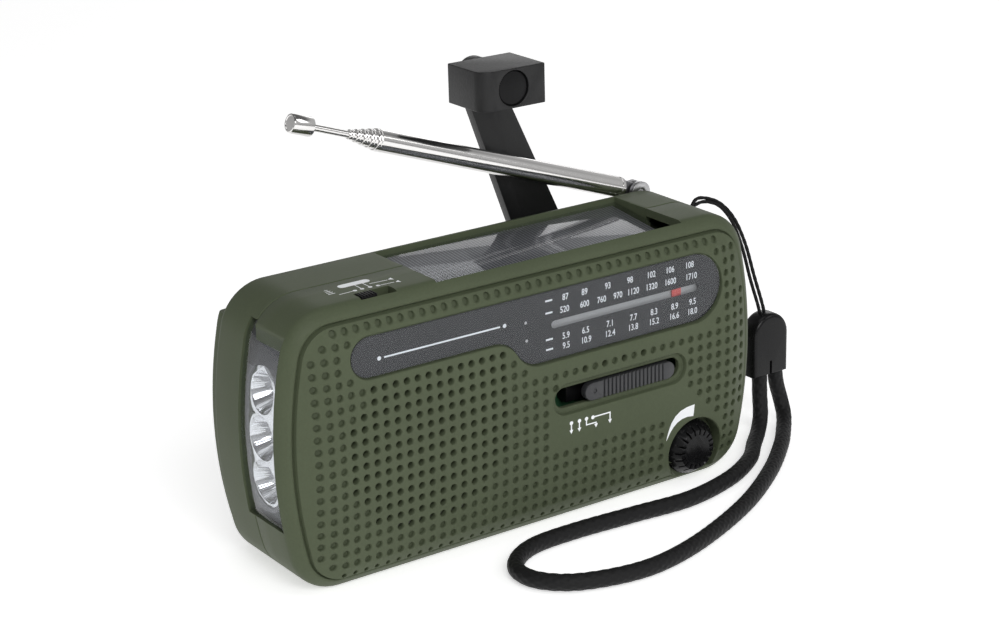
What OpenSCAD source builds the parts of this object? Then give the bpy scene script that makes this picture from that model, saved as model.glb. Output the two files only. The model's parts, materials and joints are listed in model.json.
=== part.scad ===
// Emergency radio with solar panel, dynamo crank, torch, telescopic antenna and wrist strap.
// Millimetres. X runs left to right across the front, Y from front to back, Z up. The base rests on z = 0.

/* [Body] */
// Width of the body across its bulged ends
body_w = 150; // [148:1:152]
// Height of the body
body_h = 74; // [73:0.5:75]
// Radius of the four outline corners
corner_r = 13; // [12:0.5:14]
// Radius of the bulged ends
end_r = 118; // [110:1:130]
// Wall thickness of both shells
wall = 2.2; // [2:0.1:2.4]

/* [Front] */
// Distance between neighbouring holes of the grille
hole_pitch = 3.2; // [3.1:0.1:3.3]
// Diameter of a speaker hole
hole_d = 1.7; // [1.5:0.1:1.9]
// Radius of the dome across the front face
dome_r = 320; // [300:10:400]

/* [Crank] */
// Distance from the hub to the knob
crank_l = 75; // [72:1:76]
// Lean of the arm from the vertical
crank_lean = 22.4; // [20:0.1:24]

/* [Antenna] */
// Tilt of the antenna above the horizontal
ant_tilt = 19.3; // [18:0.1:20]
// Length of the outer tube
ant_l = 84; // [82:1:86]

/* [Hidden] */

$fn = 64;
front_y = -18.5;                 // crest of the dome
rim_y = -14.4;                   // crest of the raised rim
groove_y = -13.8;                // floor of the groove inside the rim
part_y = 3;                      // plane where the two shells meet
back_y = 19;                     // back of the upper body
deck_y = 24.5;                   // back of the raised lower deck
ledge_z = 65.5;                  // top of the deck, under the stowed antenna
mid_z = body_h / 2;

// centre of hole column 0, row 0 of the grille
grid_x = -43.5;
grid_z = 39.5;

// solar well in the top, and the tilted panel in it
well = [-26.9, -12.2, 51, 16.8]; // left, front, right, back
panel_tilt = 6.5;

slot_z = 35.7;                   // height of the band slider
dial_z = 56.5;                   // height of the dial's pointer
vol = [51.7, 10.2];              // centre of the volume knob
led_z = [28.3, 40.3, 52.3];      // the three lamps of the torch
torch_y = -2;
hub = [42.7, 42.4];              // crank hub on the back
idler_dir = 200;                 // direction from the hub to the idler axle
rotor_dir = 300;                 // direction from the idler axle to the dynamo axle
gear_m = 0.8;                    // gear module
idler = hub + 24.05 * [cos(idler_dir), sin(idler_dir)];
rotor = idler + 20.85 * [cos(rotor_dir), sin(rotor_dir)];
ant = [62, 22.3, 72.6];           // antenna pivot
ant_r = [3, 2.6, 2.2, 1.8, 1.4, 0.95];
wheel = [59.5, 42];               // tuning wheel
speaker = [-34, 33];

posts = [[-66, 9.5], [-4, 8.4], [66, 9.5], [-60, 60], [65, 62]];  // screw posts of the two shells
plate_posts = [[9, 60], [43, 13], [9, 13]];                      // posts of the gear plate
bracket_x = [58.4, 65.6];        // screws of the antenna bracket

// route of the thin cord: from the bar up over the end and down to the ferrule, and back
cord_d = 1.1;
cord_path = [[72.3, 14.3, 62.5], [75.2, 14.6, 65.6], [78.2, 14, 67.6], [81, 12.8, 67.8], [84, 11, 66.2],
    [86.8, 9, 61.5], [88.8, 7, 54], [90, 4.8, 45], [90.9, 2.6, 38], [91.4, 1.6, 34.2],
    [92.6, 1.4, 34.2], [92.4, 2.6, 38.4], [91.6, 5, 45.6], [90.4, 7.6, 54.8], [88.2, 9.8, 62],
    [85, 11.8, 66.6], [81.4, 13.4, 68.6], [78, 14.4, 68.8], [74.8, 13.2, 66.4], [72.6, 12, 62.8]];
// route of the braided loop: out of the ferrule, along the floor in front of the body, and back
rope_d = 4.6;
rope_path = [[90.5, 1, 19], [90, 0.2, 12], [88.3, -2.2, 6.2], [84.5, -5.6, 3.2], [78.5, -10.8, 2.5],
    [70.4, -18.2, 2.4], [57.5, -25, 2.4], [40.5, -28.8, 2.4], [22.5, -27.6, 2.4], [4.5, -26.4, 2.4],
    [-9, -27, 2.4], [-17.5, -31, 2.4], [-21.6, -37, 2.4], [-20.5, -44.4, 2.4], [-13.5, -51, 2.4],
    [0, -55, 2.4], [13, -54.6, 2.4], [30, -49.6, 2.4], [51, -40, 2.4], [69.5, -28, 2.4], [84, -16, 2.4],
    [92.5, -7.5, 2.6], [97, -2.4, 4.4], [98, 0.4, 8.4], [97, 1, 13], [96, 1, 19]];

// ---- outline of the body, seen from the front ----

// points of an arc, in the XZ plane
function arc(cx, cz, r, a0, a1, n) =
    [for (i = [0:n]) let (a = a0 + (a1 - a0) * i / n) [cx + r * cos(a), cz + r * sin(a)]];

// right half of the outline drawn in by d from the body's edge
function half_outline(d) =
    let (w = body_w / 2 - d, h = mid_z - d, re = end_r - d, rc = max(corner_r - d, 3),
        kx = w - re + sqrt((re - rc) * (re - rc) - (h - rc) * (h - rc)),
        a = asin((h - rc) / (re - rc)))
    concat(arc(kx, mid_z - h + rc, rc, -90, -a, 8), arc(w - re, mid_z, re, -a, a, 12),
        arc(kx, mid_z + h - rc, rc, a, 90, 8));

module outline(d) {
    right = half_outline(d);
    left = [for (i = [len(right) - 1:-1:0]) [-right[i][0], right[i][1]]];
    polygon(concat(right, left));
}

// a flat shape in the XZ plane, standing from y0 to y1
module slab(y0, y1) {
    translate([0, y1, 0]) rotate([90, 0, 0]) linear_extrude(y1 - y0) children();
}

// the body's outline drawn in by d, from y0 to y1
module outline_slab(d, y0, y1) {
    slab(y0, y1) outline(d);
}

// a cylinder along Y from y0 to y1
module ycyl(x, z, r, y0, y1) {
    translate([x, y0, z]) rotate([-90, 0, 0]) cylinder(r = r, h = y1 - y0);
}

// a box from one corner to the other
module block(a, b) {
    translate(a) cube(b - a);
}

// everything behind the dome surface moved back by d
module dome(d) {
    translate([-100, front_y + d + dome_r, mid_z]) rotate([0, 90, 0]) cylinder(r = dome_r, h = 200, $fn = 180);
}

// a rounded slot in the XZ plane
module slot2d(x0, x1, z, r) {
    translate([x0, z - r]) square([x1 - x0, 2 * r]);
    for (x = [x0, x1]) translate([x, z]) circle(r);
}

// the dial window's outline drawn in by d: a narrow left part and a deep right part joined by an S curve
module window2d(d) {
    polygon(concat(arc(-50.2, 60.6, 5.5 - d, 90, 270, 14), arc(-13.8, 47.07, 8.03 + d, 90, 29.3, 7),
        arc(0.2, 54.93, 8.03 - d, 209.3, 270, 7), arc(50.8, 56.5, 9.6 - d, -90, 90, 20)));
}

// ---- shells ----

// the holes over the speaker, a round field cut off by the dial window
function over_speaker(i, j) =
    abs(i - 3) <= 7 && j >= -4 && j <= 8
    && ((i - 3) * (i - 3) + (j - 1.5) * (j - 1.5) < 56 || (j < 2 && i > 3));

module grille_holes() {
    for (i = [-4:10], j = [-4:8])
        if (over_speaker(i, j))
            ycyl(grid_x + i * hole_pitch, grid_z - j * hole_pitch, hole_d / 2, front_y - 1, -12, $fn = 16);
    for (i = [18:2:24])
        ycyl(grid_x + i * hole_pitch, grid_z + hole_pitch, hole_d / 2, front_y - 1, -12, $fn = 16);
}

// the opening for the torch, on both shells
module torch_cut() {
    block([-80, -11.2, 18], [-66, 6, 69]);
}

module well_cut() {
    block([well[0], well[1], 69], [well[2], well[3], body_h + 1]);
}

// walls and floor round the solar well, from y0 to y1
module well_tub(y0, y1) {
    difference() {
        block([well[0] - 1.5, y0, 65.6], [well[2] + 1.5, y1, 72.6]);
        block([well[0], max(y0 - 1, well[1]), 67.2], [well[2], min(y1 + 1, well[3]), 80]);
    }
}

module front_shell() {
    color("#4a5440") difference() {
        union() {
            difference() {
                union() {
                    // the front edge is rounded in steps, up to the floor of the groove
                    outline_slab(0, -11.2, part_y);
                    outline_slab(0.4, -12.2, part_y);
                    outline_slab(1.1, -13, part_y);
                    outline_slab(2, groove_y, part_y);
                    difference() {
                        outline_slab(2.8, rim_y, groove_y + 1);
                        outline_slab(3.8, rim_y - 1, groove_y + 2);
                    }
                    // the dome stands proud of the rim, a little low in the outline
                    translate([0, 0, -0.8]) {
                        outline_slab(4.3, -15.4, groove_y + 1);
                        outline_slab(4.9, -16.4, groove_y + 1);
                    }
                    intersection() {
                        translate([0, 0, -0.8]) outline_slab(6, front_y, groove_y + 1);
                        dome(0);
                    }
                }
                outline_slab(wall, -11.6, part_y + 1);
                outline_slab(8, -15.8, part_y);
                well_cut();
            }
            well_tub(-12.9, part_y);
            // wall round the volume knob's recess, and its floor
            intersection() {
                ycyl(vol[0], vol[1], 10.4, -16, -11.6);
                outline_slab(4.5, -20, 0);
            }
            intersection() {
                ycyl(vol[0], vol[1], 10.4, -13, -11.6);
                outline_slab(1, -20, 0);
            }
            // screw posts
            for (p = posts) ycyl(p[0], p[1], 3, p == posts[3] ? -16 : -13, part_y);
        }
        grille_holes();
        slab(front_y - 1, -16.9) window2d(0);
        slab(front_y - 1, -12) window2d(1.4);
        slab(front_y - 1, -17.2) slot2d(7.9, 43.4, slot_z, 4.2);
        slab(front_y - 1, -12) slot2d(7.9, 43.4, slot_z, 2.75);
        ycyl(vol[0], vol[1], 9, front_y - 1, -13.2);
        ycyl(vol[0], vol[1], 2.2, front_y - 1, -10);
        torch_cut();
        block([-48.6, -12.1, 70], [-38.4, -8, body_h + 1]);
        block([9, -6, 64], [15, 1, 70]);
        for (p = posts) ycyl(p[0], p[1], 1.2, -8, part_y + 1);
    }
}

module rear_shell() {
    color("#454e3b") difference() {
        union() {
            difference() {
                union() {
                    outline_slab(0, part_y, back_y - 1.2);
                    outline_slab(0.7, part_y, back_y);
                    difference() {
                        outline_slab(2.2, back_y - 1, deck_y);
                        block([-90, back_y, ledge_z], [90, 40, 90]);
                    }
                }
                outline_slab(wall, part_y - 1, back_y - wall);
                difference() {
                    outline_slab(5, part_y, deck_y - 2);
                    block([-90, back_y - 2.2, ledge_z - 2], [90, 40, 90]);
                }
                well_cut();
            }
            well_tub(part_y, well[3] + 1.2);
            // pocket for the knob of the stowed crank
            ycyl(hub[0] - crank_l, hub[1], 13.6, 8.6, deck_y - 1);
            // bosses of the crank's bearing and the idler's axle
            ycyl(hub[0], hub[1], 7, 17.4, deck_y - 0.5);
            ycyl(idler[0], idler[1], 3.2, 16.6, deck_y - 1);
            // solid corner behind the strap bar
            intersection() {
                block([69, 8, 57], [80, 18, 67]);
                outline_slab(0.5, part_y, back_y);
            }
            for (p = posts) ycyl(p[0], p[1], 3.1, part_y + 0.2, deck_y - 1);
            for (p = plate_posts) ycyl(p[0], p[1], 2.6, 10.6, deck_y - 1);
        }
        ycyl(hub[0] - crank_l, hub[1], 12, 10.2, deck_y + 1);
        ycyl(hub[0], hub[1], 4.05, 10, deck_y + 1);
        ycyl(idler[0], idler[1], 1.5, 16, 21.5);
        for (p = posts) {
            ycyl(p[0], p[1], 1.6, part_y - 1, deck_y + 1);
            ycyl(p[0], p[1], 2.8, deck_y - 3.4, deck_y + 1);
        }
        for (p = plate_posts) ycyl(p[0], p[1], 0.9, 9, 18);
        torch_cut();
        // battery bay and the opening for its lid
        block([-60.5, part_y + 0.5, 3.4], [-11.2, deck_y - 1.9, 26.9]);
        block([-60.8, 20, 4.4], [-9.8, deck_y + 1, 26.6]);
        // slot for the tuning wheel in the right end
        ycyl(wheel[0], wheel[1], 18, 4.1, 9.3);
        // earphone jack and charging socket in the right end
        translate([60, 11, 17]) rotate([0, 90, 0]) cylinder(r = 3.02, h = 20);
        block([60, 7.2, 21], [80, 15.2, 25.2]);
        // slots above, below and behind the strap bar
        block([70.5, 11, 63.6], [80, 15.4, 66]);
        block([70.5, 11, 58.4], [80, 15.4, 61.4]);
        block([70.5, 11, 58.4], [71.4, 15.4, 66]);
        // holes of the antenna bracket's screws
        for (x = bracket_x) ycyl(x, 67.8, 0.9, 12, 20);
    }
}

// ---- front controls ----

module dial_window() {
    color("#9aa4aa44") slab(-17.5, -17.05) window2d(0.25);
}

// printed film behind the window, clear along the pointer's track
module dial_film() {
    color("#2e2e30") difference() {
        slab(-17.05, -16.9) window2d(0.25);
        slab(-18, -16) slot2d(5.45, 51.85, dial_z, 1.05);
    }
}

// pale plate behind the track, with a guide slot for the pointer's stem
module dial_plate() {
    color("#b4b6b8") difference() {
        slab(-15.78, -14.98) window2d(0.5);
        slab(-17, -14) slot2d(4, 54.2, dial_z - 4.2, 0.8);
    }
}

module pointer() {
    color("red") {
        block([44.4, -16.5, dial_z - 5], [47.4, -16.1, dial_z + 1.4]);
        block([45.2, -16.2, dial_z - 4.65], [46.6, -14.2, dial_z - 3.75]);
        block([43.6, -14.6, dial_z - 6.4], [48.2, -13.6, dial_z - 2]);
    }
}

// thumb wheel with a knurled rim, a cord drum beside it, on the tuning capacitor's shaft
module tuning_wheel() {
    color("#26262a") difference() {
        union() {
            slab(4.6, 8.8) circle_knurl(17.2, 60, 0.5);
            ycyl(0, 0, 11.4, 3.8, 4.7);
            ycyl(0, 0, 12.9, 2.8, 3.9);
        }
        ycyl(0, 0, 1.55, 0, 13);
        ycyl(0, 0, 13, 7.4, 10);
    }
}

// a disc with n shallow flutes
module circle_knurl(r, n, depth) {
    polygon([for (i = [0:2 * n - 1]) let (a = 180 * i / n, q = r - (i % 2) * depth) [q * cos(a), q * sin(a)]]);
}

module volume_knob() {
    color("#1c1c1e") difference() {
        union() {
            slab(-15.4, -13.6) circle_knurl(7.8, 40, 0.25);
            translate([0, -15.4, 0]) rotate([90, 0, 0]) cylinder(r1 = 7.6, r2 = 5.6, h = 3);
        }
        ycyl(0, 0, 1.52, -16.4, -13);
        for (a = [0:20:340])
            rotate([0, a, 0]) block([4.2, -18.8, -0.25], [8, -16.6, 0.25]);
    }
}

// finger bar with ribs across it, on a stem through the slot
module band_slider() {
    color("#232325") {
        difference() {
            slab(-18.3, -16.2) slot2d(16.5, 41.4, slot_z, 2.4);
            for (i = [0:15]) block([20 + i * 1.3, -18.8, slot_z - 3], [20.5 + i * 1.3, -17.8, slot_z + 3]);
            ycyl(17.2, slot_z, 0.6, -18.8, -17.9, $fn = 24);
        }
        block([27, -16.4, slot_z - 1], [31, -11.4, slot_z + 1]);
    }
}

module mode_slider() {
    color("#1c1c1e") difference() {
        union() {
            block([-48.2, -11.7, 71.2], [-43.8, -8.4, 74.2]);
            block([-47, -10.7, 67], [-45, -9.6, 71.4]);
        }
        for (i = [0:4]) block([-47.9 + i * 0.85, -13, 73.8], [-47.5 + i * 0.85, -8, 75]);
    }
}

// ---- solar panel ----

module tilted(z0, z1, d) {
    translate([0, well[3] - 1, 73]) rotate([panel_tilt, 0, 0])
        block([well[0] + d, -(well[3] - well[1]) + 1.6, z0], [well[2] - d, 0, z1]);
}

module solar_panel() {
    color("#2c2c34") tilted(-2, -0.9, 1.6);
}

module solar_cover() {
    color("#8090a033") tilted(-0.85, 0, 0.6);
}

// ---- torch in the left end ----

// a slice of the body's end, between two depths below its surface
module end_skin(d0, d1, y0, y1, z0, z1) {
    intersection() {
        block([-80, y0, z0], [-60, y1, z1]);
        difference() {
            outline_slab(d0, y0 - 1, y1 + 1);
            outline_slab(d1, y0 - 2, y1 + 2);
        }
    }
}

module torch_lens() {
    color("#c8d2dc55") end_skin(0.5, 1.7, -10.9, 5.7, 18.3, 68.7);
}

// frame behind the lens, with an oval opening for the reflector
module torch_bezel() {
    color("#3a3c40") difference() {
        end_skin(1.8, 3, -10.8, 5.6, 18.4, 68.6);
        translate([-76, torch_y, 0]) rotate([0, 90, 0]) torch_oval(6.7, 10);
    }
}

// three cups in one moulding, its face curved like the body's end
module torch_reflector() {
    color("silver") difference() {
        intersection() {
            translate([-76, torch_y, 0]) rotate([0, 90, 0]) torch_oval(6.5, 14.2);
            outline_slab(2, -20, 20);
        }
        for (z = led_z) {
            translate([-73, torch_y, z]) rotate([0, 90, 0]) cylinder(r1 = 5.9, r2 = 2.8, h = 8);
            translate([-74, torch_y, z]) rotate([0, 90, 0]) cylinder(r = 2.62, h = 14);
        }
        ycyl(posts[3][0], posts[3][1], 3.3, -20, 20);
    }
}

// an upright oval round the three lamps, lying in the plane it is extruded from
module torch_oval(r, h) {
    linear_extrude(h) {
        translate([-led_z[2], 0]) circle(r);
        translate([-led_z[0], 0]) circle(r);
        translate([-led_z[2], -r]) square([led_z[2] - led_z[0], 2 * r]);
    }
}

module torch_leds() {
    color("#e8eef0") for (z = led_z) translate([-66.2, torch_y, z]) rotate([0, 90, 0]) {
        cylinder(r = 2.5, h = 4.8);
        translate([0, 0, 4.5]) cylinder(r = 2.9, h = 0.4);
        sphere(2.5);
    }
}

module torch_board() {
    color("#2f6b3a") block([-61.25, -9, 24.8], [-59.85, 5, 56.2]);
}

// ---- speaker ----

module speaker_frame() {
    color("#707478") translate([speaker[0], -15.75, speaker[1]]) rotate([-90, 0, 0]) difference() {
        union() {
            cylinder(r = 22.4, h = 1.6);
            translate([0, 0, 1.5]) cylinder(r1 = 20.6, r2 = 12, h = 7.1);
        }
        translate([0, 0, -1]) cylinder(r = 19.6, h = 2.8);
        translate([0, 0, 1.7]) cylinder(r1 = 19.5, r2 = 10.9, h = 7);
    }
}

module speaker_cone() {
    color("#202022") translate([speaker[0], -15.2, speaker[1]]) rotate([-90, 0, 0]) difference() {
        union() {
            cylinder(r1 = 19, r2 = 8, h = 6);
            translate([0, 0, 5.9]) cylinder(r = 6, h = 1.9);
        }
        translate([0, 0, -0.6]) cylinder(r1 = 18.8, r2 = 7.6, h = 6);
    }
}

module speaker_magnet() {
    color("#3a3c40") ycyl(speaker[0], speaker[1], 14, -7.1, -0.6);
}

// ---- circuit boards and controls behind the front ----

module main_board() {
    color("#2f6b3a") {
        block([-4, -8.4, 18], [68, -6.8, 46]);
        block([40, -8.4, 4.4], [62.6, -6.8, 18.1]);
    }
}

module tuning_capacitor() {
    color("#d8d4c0") block([wheel[0] - 9, -6.8, 33], [wheel[0] + 4.4, 1.8, 45.9]);
    color("silver") ycyl(wheel[0], wheel[1], 1.5, 1.7, 8.6);
}

module volume_pot() {
    color("#404448") ycyl(vol[0], vol[1], 5.6, -11.4, -8.4);
    color("silver") ycyl(vol[0], vol[1], 1.5, -16.2, -11.3);
}

module band_switch() {
    color("#b8bcc0") difference() {
        block([12, -12.4, slot_z - 3.6], [42, -8.4, slot_z + 3.6]);
        block([18, -13, slot_z - 1.4], [33, -10.8, slot_z + 1.4]);
    }
}

module mode_switch() {
    color("#b8bcc0") difference() {
        block([-51, -11.4, 62], [-35.6, -7.6, 68]);
        block([-48, -11, 66.2], [-37.6, -9.3, 69]);
    }
}

module ferrite_rod() {
    color("#38383c") translate([-54, 12, 61]) rotate([0, 90, 0]) cylinder(r = 4, h = 58);
}

module ferrite_coil() {
    color("#b06a30") translate([-50, 12, 61]) rotate([0, 90, 0]) difference() {
        cylinder(r = 4.5, h = 20);
        translate([0, 0, -1]) cylinder(r = 4, h = 22);
    }
}

// ---- battery ----

cells = [[16.2, 9.4], [16.2, 20.6], [6.4, 15]];

module battery_cells() {
    color("#3c78a8") for (c = cells) translate([-58.8, c[0], c[1]]) rotate([0, 90, 0]) {
        cylinder(r = 5.25, h = 43.5);
        translate([0, 0, 43.4]) cylinder(r = 1.8, h = 1);
    }
}

module battery_contacts() {
    color("silver") {
        block([-60.2, 4, 6], [-58.9, 21, 24]);
        block([-14.2, 4, 6], [-12.9, 21, 24]);
    }
}

// clip-on lid with a thumb rib near its upper edge
module battery_door() {
    color("#3f4836") {
        block([-60.4, deck_y - 1.8, 4.9], [-10.2, deck_y, 26.2]);
        block([-40, deck_y - 0.2, 23.4], [-30, deck_y + 0.8, 24.4]);
    }
}

// ---- dynamo and its gears ----

// points of one flank of an involute tooth, from its root to its tip, each [radius, half angle]
function inv(a) = tan(a) * 180 / PI - a;
function flank(r0, rt, rb, off) =
    [for (i = [0:5]) let (r = r0 + (rt - r0) * i / 5) [r, off - inv(acos(min(1, rb / r)))]];
function polar(r, a) = [r * cos(a), r * sin(a)];

// a spur gear with n teeth, thinned for running clearance, one tooth pointing along a
module gear2d(n, a) {
    rp = gear_m * n / 2;
    rb = rp * cos(20);
    rr = rp - 1.2 * gear_m;
    off = 90 / n + inv(20) - 0.12 / rp * 180 / PI;
    tooth = flank(max(rb, rr), rp + 0.85 * gear_m, rb, off);
    polygon([for (k = [0:n - 1]) let (c = a + 360 * k / n)
        each concat([polar(rr, c - 180 / n), polar(rr, c - off)],
            [for (p = tooth) polar(p[0], c - p[1])],
            [for (i = [5:-1:0]) polar(tooth[i][0], c + tooth[i][1])],
            [polar(rr, c + off)])]);
}

module gear_plate() {
    color("#a8acb0") difference() {
        block([5, 9.4, 9.5], [46.2, 10.6, 64]);
        ycyl(hub[0], hub[1], 2.05, 9, 11);
        ycyl(rotor[0], rotor[1], 3, 9, 11);
        ycyl(idler[0], idler[1], 1.5, 9, 11);
        for (p = plate_posts) ycyl(p[0], p[1], 0.9, 9, 11);
    }
}

module drive_gear() {
    color("#e6e2d2") difference() {
        slab(13.4, 15.4) translate(hub) gear2d(48, idler_dir);
        ycyl(hub[0], hub[1], 3, 13, 16);
    }
}

// two wheels in one moulding: the small one driven by the drive gear, the large one driving the dynamo
module idler_gear() {
    color("#e6e2d2") difference() {
        union() {
            slab(12.8, 16) translate(idler) gear2d(12, idler_dir + 15);
            slab(11.2, 12.8) translate(idler) gear2d(40, rotor_dir);
        }
        ycyl(idler[0], idler[1], 1.55, 11, 17);
    }
}

module idler_axle() {
    color("silver") ycyl(idler[0], idler[1], 1.5, 9.4, 21.4);
}

module dynamo_can() {
    color("#c0c4c8") difference() {
        ycyl(rotor[0], rotor[1], 11.5, -4, 9.3);
        ycyl(rotor[0], rotor[1], 10.5, -3, 8.3);
        ycyl(rotor[0], rotor[1], 1.05, -5, 11);
    }
}

module dynamo_coil() {
    color("#b06a30") difference() {
        ycyl(rotor[0], rotor[1], 10.45, -2.4, 7.6);
        ycyl(rotor[0], rotor[1], 8, -3, 8);
    }
}

// shaft with a magnet inside the coil and a pinion in front of the gear plate
module dynamo_rotor() {
    color("silver") ycyl(rotor[0], rotor[1], 1, -4.6, 11.3);
    color("#505458") ycyl(rotor[0], rotor[1], 7.4, -1.8, 7);
    color("#d8b060") slab(11.2, 12.8) translate(rotor) gear2d(12, rotor_dir + 15);
}

// ---- crank: drawn upright over the hub and leaned as a whole ----

module leaned() {
    translate([hub[0], 0, hub[1]]) rotate([0, -crank_lean, 0]) children();
}

pin_y = 28.9;                    // fold axis across the arm's root

// a disc with two ears, on a stepped shaft through the bearing to the drive gear and the gear plate
module crank_hub() {
    color("#1e1e20") leaned() difference() {
        union() {
            ycyl(0, 0, 11, deck_y + 0.5, 26.4);
            ycyl(0, 0, 4, 15.6, deck_y + 0.6);
            ycyl(0, 0, 3, 12.8, 15.7);
            ycyl(0, 0, 2, 9.3, 12.9);
            for (s = [-1, 1]) {
                block([s * 8.6 - 1.6, 26.3, -3], [s * 8.6 + 1.6, pin_y, 3]);
                translate([s * 8.6 - 1.6, pin_y, 0]) rotate([0, 90, 0]) cylinder(r = 3, h = 3.2);
            }
        }
        translate([-12, pin_y, 0]) rotate([0, 90, 0]) cylinder(r = 1.2, h = 24);
    }
}

module crank_pin() {
    color("silver") leaned() translate([-10.2, pin_y, 0]) rotate([0, 90, 0]) cylinder(r = 1.2, h = 20.4);
}

// tapered arm with an eye round the pin, a rounded tip and a hollowed back
module crank_arm() {
    color("#1e1e20") leaned() difference() {
        union() {
            translate([0, 30.4, 0]) rotate([90, 0, 0]) linear_extrude(3.2)
                polygon([[-8.6, 4.6], [8.6, 4.6], [5.3, crank_l], [-5.3, crank_l]]);
            ycyl(0, crank_l, 5.3, 27.2, 30.4);
            block([-6.7, 27.2, 0], [6.7, 30.4, 5]);
            translate([-6.7, pin_y, 0]) rotate([0, 90, 0]) cylinder(r = 2.2, h = 13.4);
        }
        translate([-12, pin_y, 0]) rotate([0, 90, 0]) cylinder(r = 1.25, h = 24);
        translate([0, 31.4, 0]) rotate([90, 0, 0]) linear_extrude(2)
            polygon([[-6, 10], [6, 10], [3.8, crank_l - 10], [-3.8, crank_l - 10]]);
        ycyl(0, crank_l, 1.6, 27, 31);
    }
}

function tip() = [hub[0] - crank_l * sin(crank_lean), hub[1] + crank_l * cos(crank_lean)];

// stud that carries the knob, riveted into the arm's tip
module knob_spindle() {
    color("silver") {
        ycyl(tip()[0], tip()[1], 1.6, 12.8, 30);
        ycyl(tip()[0], tip()[1], 3.2, 12.6, 13.6);
    }
}

// a box with one rounded edge, bored for the stud and recessed for the stud's head and a cap
module crank_knob() {
    x = tip()[0];
    z = tip()[1];
    color("#1a1a1c") difference() {
        translate([0, 0, z - 5.3]) linear_extrude(10.6) {
            translate([x - 10, 15]) square([20, 11.9]);
            translate([x - 6, 11]) square([16, 10]);
            translate([x - 6, 15]) circle(4);
        }
        ycyl(x, z, 4.7, 10, 12.2);
        ycyl(x, z, 3.5, 12, 14);
        ycyl(x, z, 1.65, 12, 28);
    }
}

module knob_cap() {
    color("#121214") ycyl(tip()[0], tip()[1], 4.7, 11.4, 12.2);
}

// ---- antenna: drawn along -X from its pivot and tilted as a whole ----

module raised() {
    translate(ant) rotate([0, ant_tilt, 0]) children();
}

// a tube from x = a out to x = b, both counted away from the pivot
module tube(a, b, r, ri) {
    raised() translate([-a, 0, 0]) rotate([0, -90, 0]) difference() {
        cylinder(r = r, h = b - a, $fn = 40);
        translate([0, 0, -1]) cylinder(r = ri, h = b - a + 2, $fn = 40);
    }
}

// plate behind the upper body with an ear that carries the pivot screw
module antenna_bracket() {
    color("#a8acb0") difference() {
        union() {
            block([56.4, back_y, 66], [67.6, back_y + 1.4, 69.6]);
            block([58.8, back_y, 66], [65.2, back_y + 1.4, ant[2]]);
            ycyl(ant[0], ant[2], 3.2, back_y, back_y + 1.4);
        }
        ycyl(ant[0], ant[2], 1.2, back_y - 1, back_y + 2);
        for (x = bracket_x) ycyl(x, 67.8, 1, back_y - 1, back_y + 2);
    }
}

module bracket_screws() {
    color("silver") for (x = bracket_x) {
        ycyl(x, 67.8, 0.9, 14, back_y + 1.5);
        ycyl(x, 67.8, 1.7, back_y + 1.4, back_y + 2.2);
    }
}

module antenna_screw() {
    color("silver") {
        ycyl(ant[0], ant[2], 1.2, back_y + 0.1, 24.2);
        ycyl(ant[0], ant[2], 2.4, 24.1, 25.1);
    }
}

// flat eye round the screw, running out to a round plug in the tube's end
module antenna_knuckle() {
    color("#85878a") raised() difference() {
        union() {
            ycyl(0, 0, 2.9, -1.4, 1.4);
            block([-6, -1.4, -2.2], [0, 1.4, 2.2]);
            translate([-4.8, 0, 0]) rotate([0, -90, 0]) cylinder(r = 2.65, h = 6.4);
        }
        ycyl(0, 0, 1.25, -3, 3);
    }
}

module antenna_tube_1() {
    color("#d0d2d4") tube(5.3, 5.3 + ant_l, 3, 2.65);
}

module antenna_tube_2() {
    color("#d0d2d4") tube(14, 7.3 + ant_l, ant_r[1], 2.25);
}

module antenna_tube_3() {
    color("#d0d2d4") tube(15, 9.3 + ant_l, ant_r[2], 1.85);
}

module antenna_tube_4() {
    color("#d0d2d4") tube(16, 11.3 + ant_l, ant_r[3], 1.45);
}

module antenna_tube_5() {
    color("#d0d2d4") tube(17, 13.3 + ant_l, ant_r[4], 1);
}

module antenna_tip() {
    color("#d0d2d4") raised() {
        translate([-22.2, 0, 0]) rotate([0, -90, 0]) cylinder(r = ant_r[5], h = 2.8 + ant_l);
        translate([-24.6 - ant_l, 0, 0]) rotate([0, -90, 0]) cylinder(r = 2.6, h = 6.4);
    }
}

// ---- sockets and screws ----

module earphone_jack() {
    color("#2a2a2c") translate([61, 11, 17]) rotate([0, 90, 0]) difference() {
        cylinder(r = 3, h = 12.9);
        translate([0, 0, 2]) cylinder(r = 1.75, h = 12);
    }
}

module charge_socket() {
    color("silver") difference() {
        block([64, 7.4, 21.2], [74, 15, 25]);
        block([66, 7.9, 21.7], [75, 14.5, 24.5]);
    }
}

module housing_screws() {
    color("silver") for (p = posts) difference() {
        union() {
            ycyl(p[0], p[1], 1.15, -6, deck_y - 3.2);
            ycyl(p[0], p[1], 2.5, deck_y - 3.35, deck_y - 1.6);
        }
        block([p[0] - 1.6, deck_y - 2.4, p[1] - 0.3], [p[0] + 1.6, deck_y, p[1] + 0.3]);
        block([p[0] - 0.3, deck_y - 2.4, p[1] - 1.6], [p[0] + 0.3, deck_y, p[1] + 1.6]);
    }
}

// ---- wrist strap ----

function unit(v) = v / norm(v);

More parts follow.
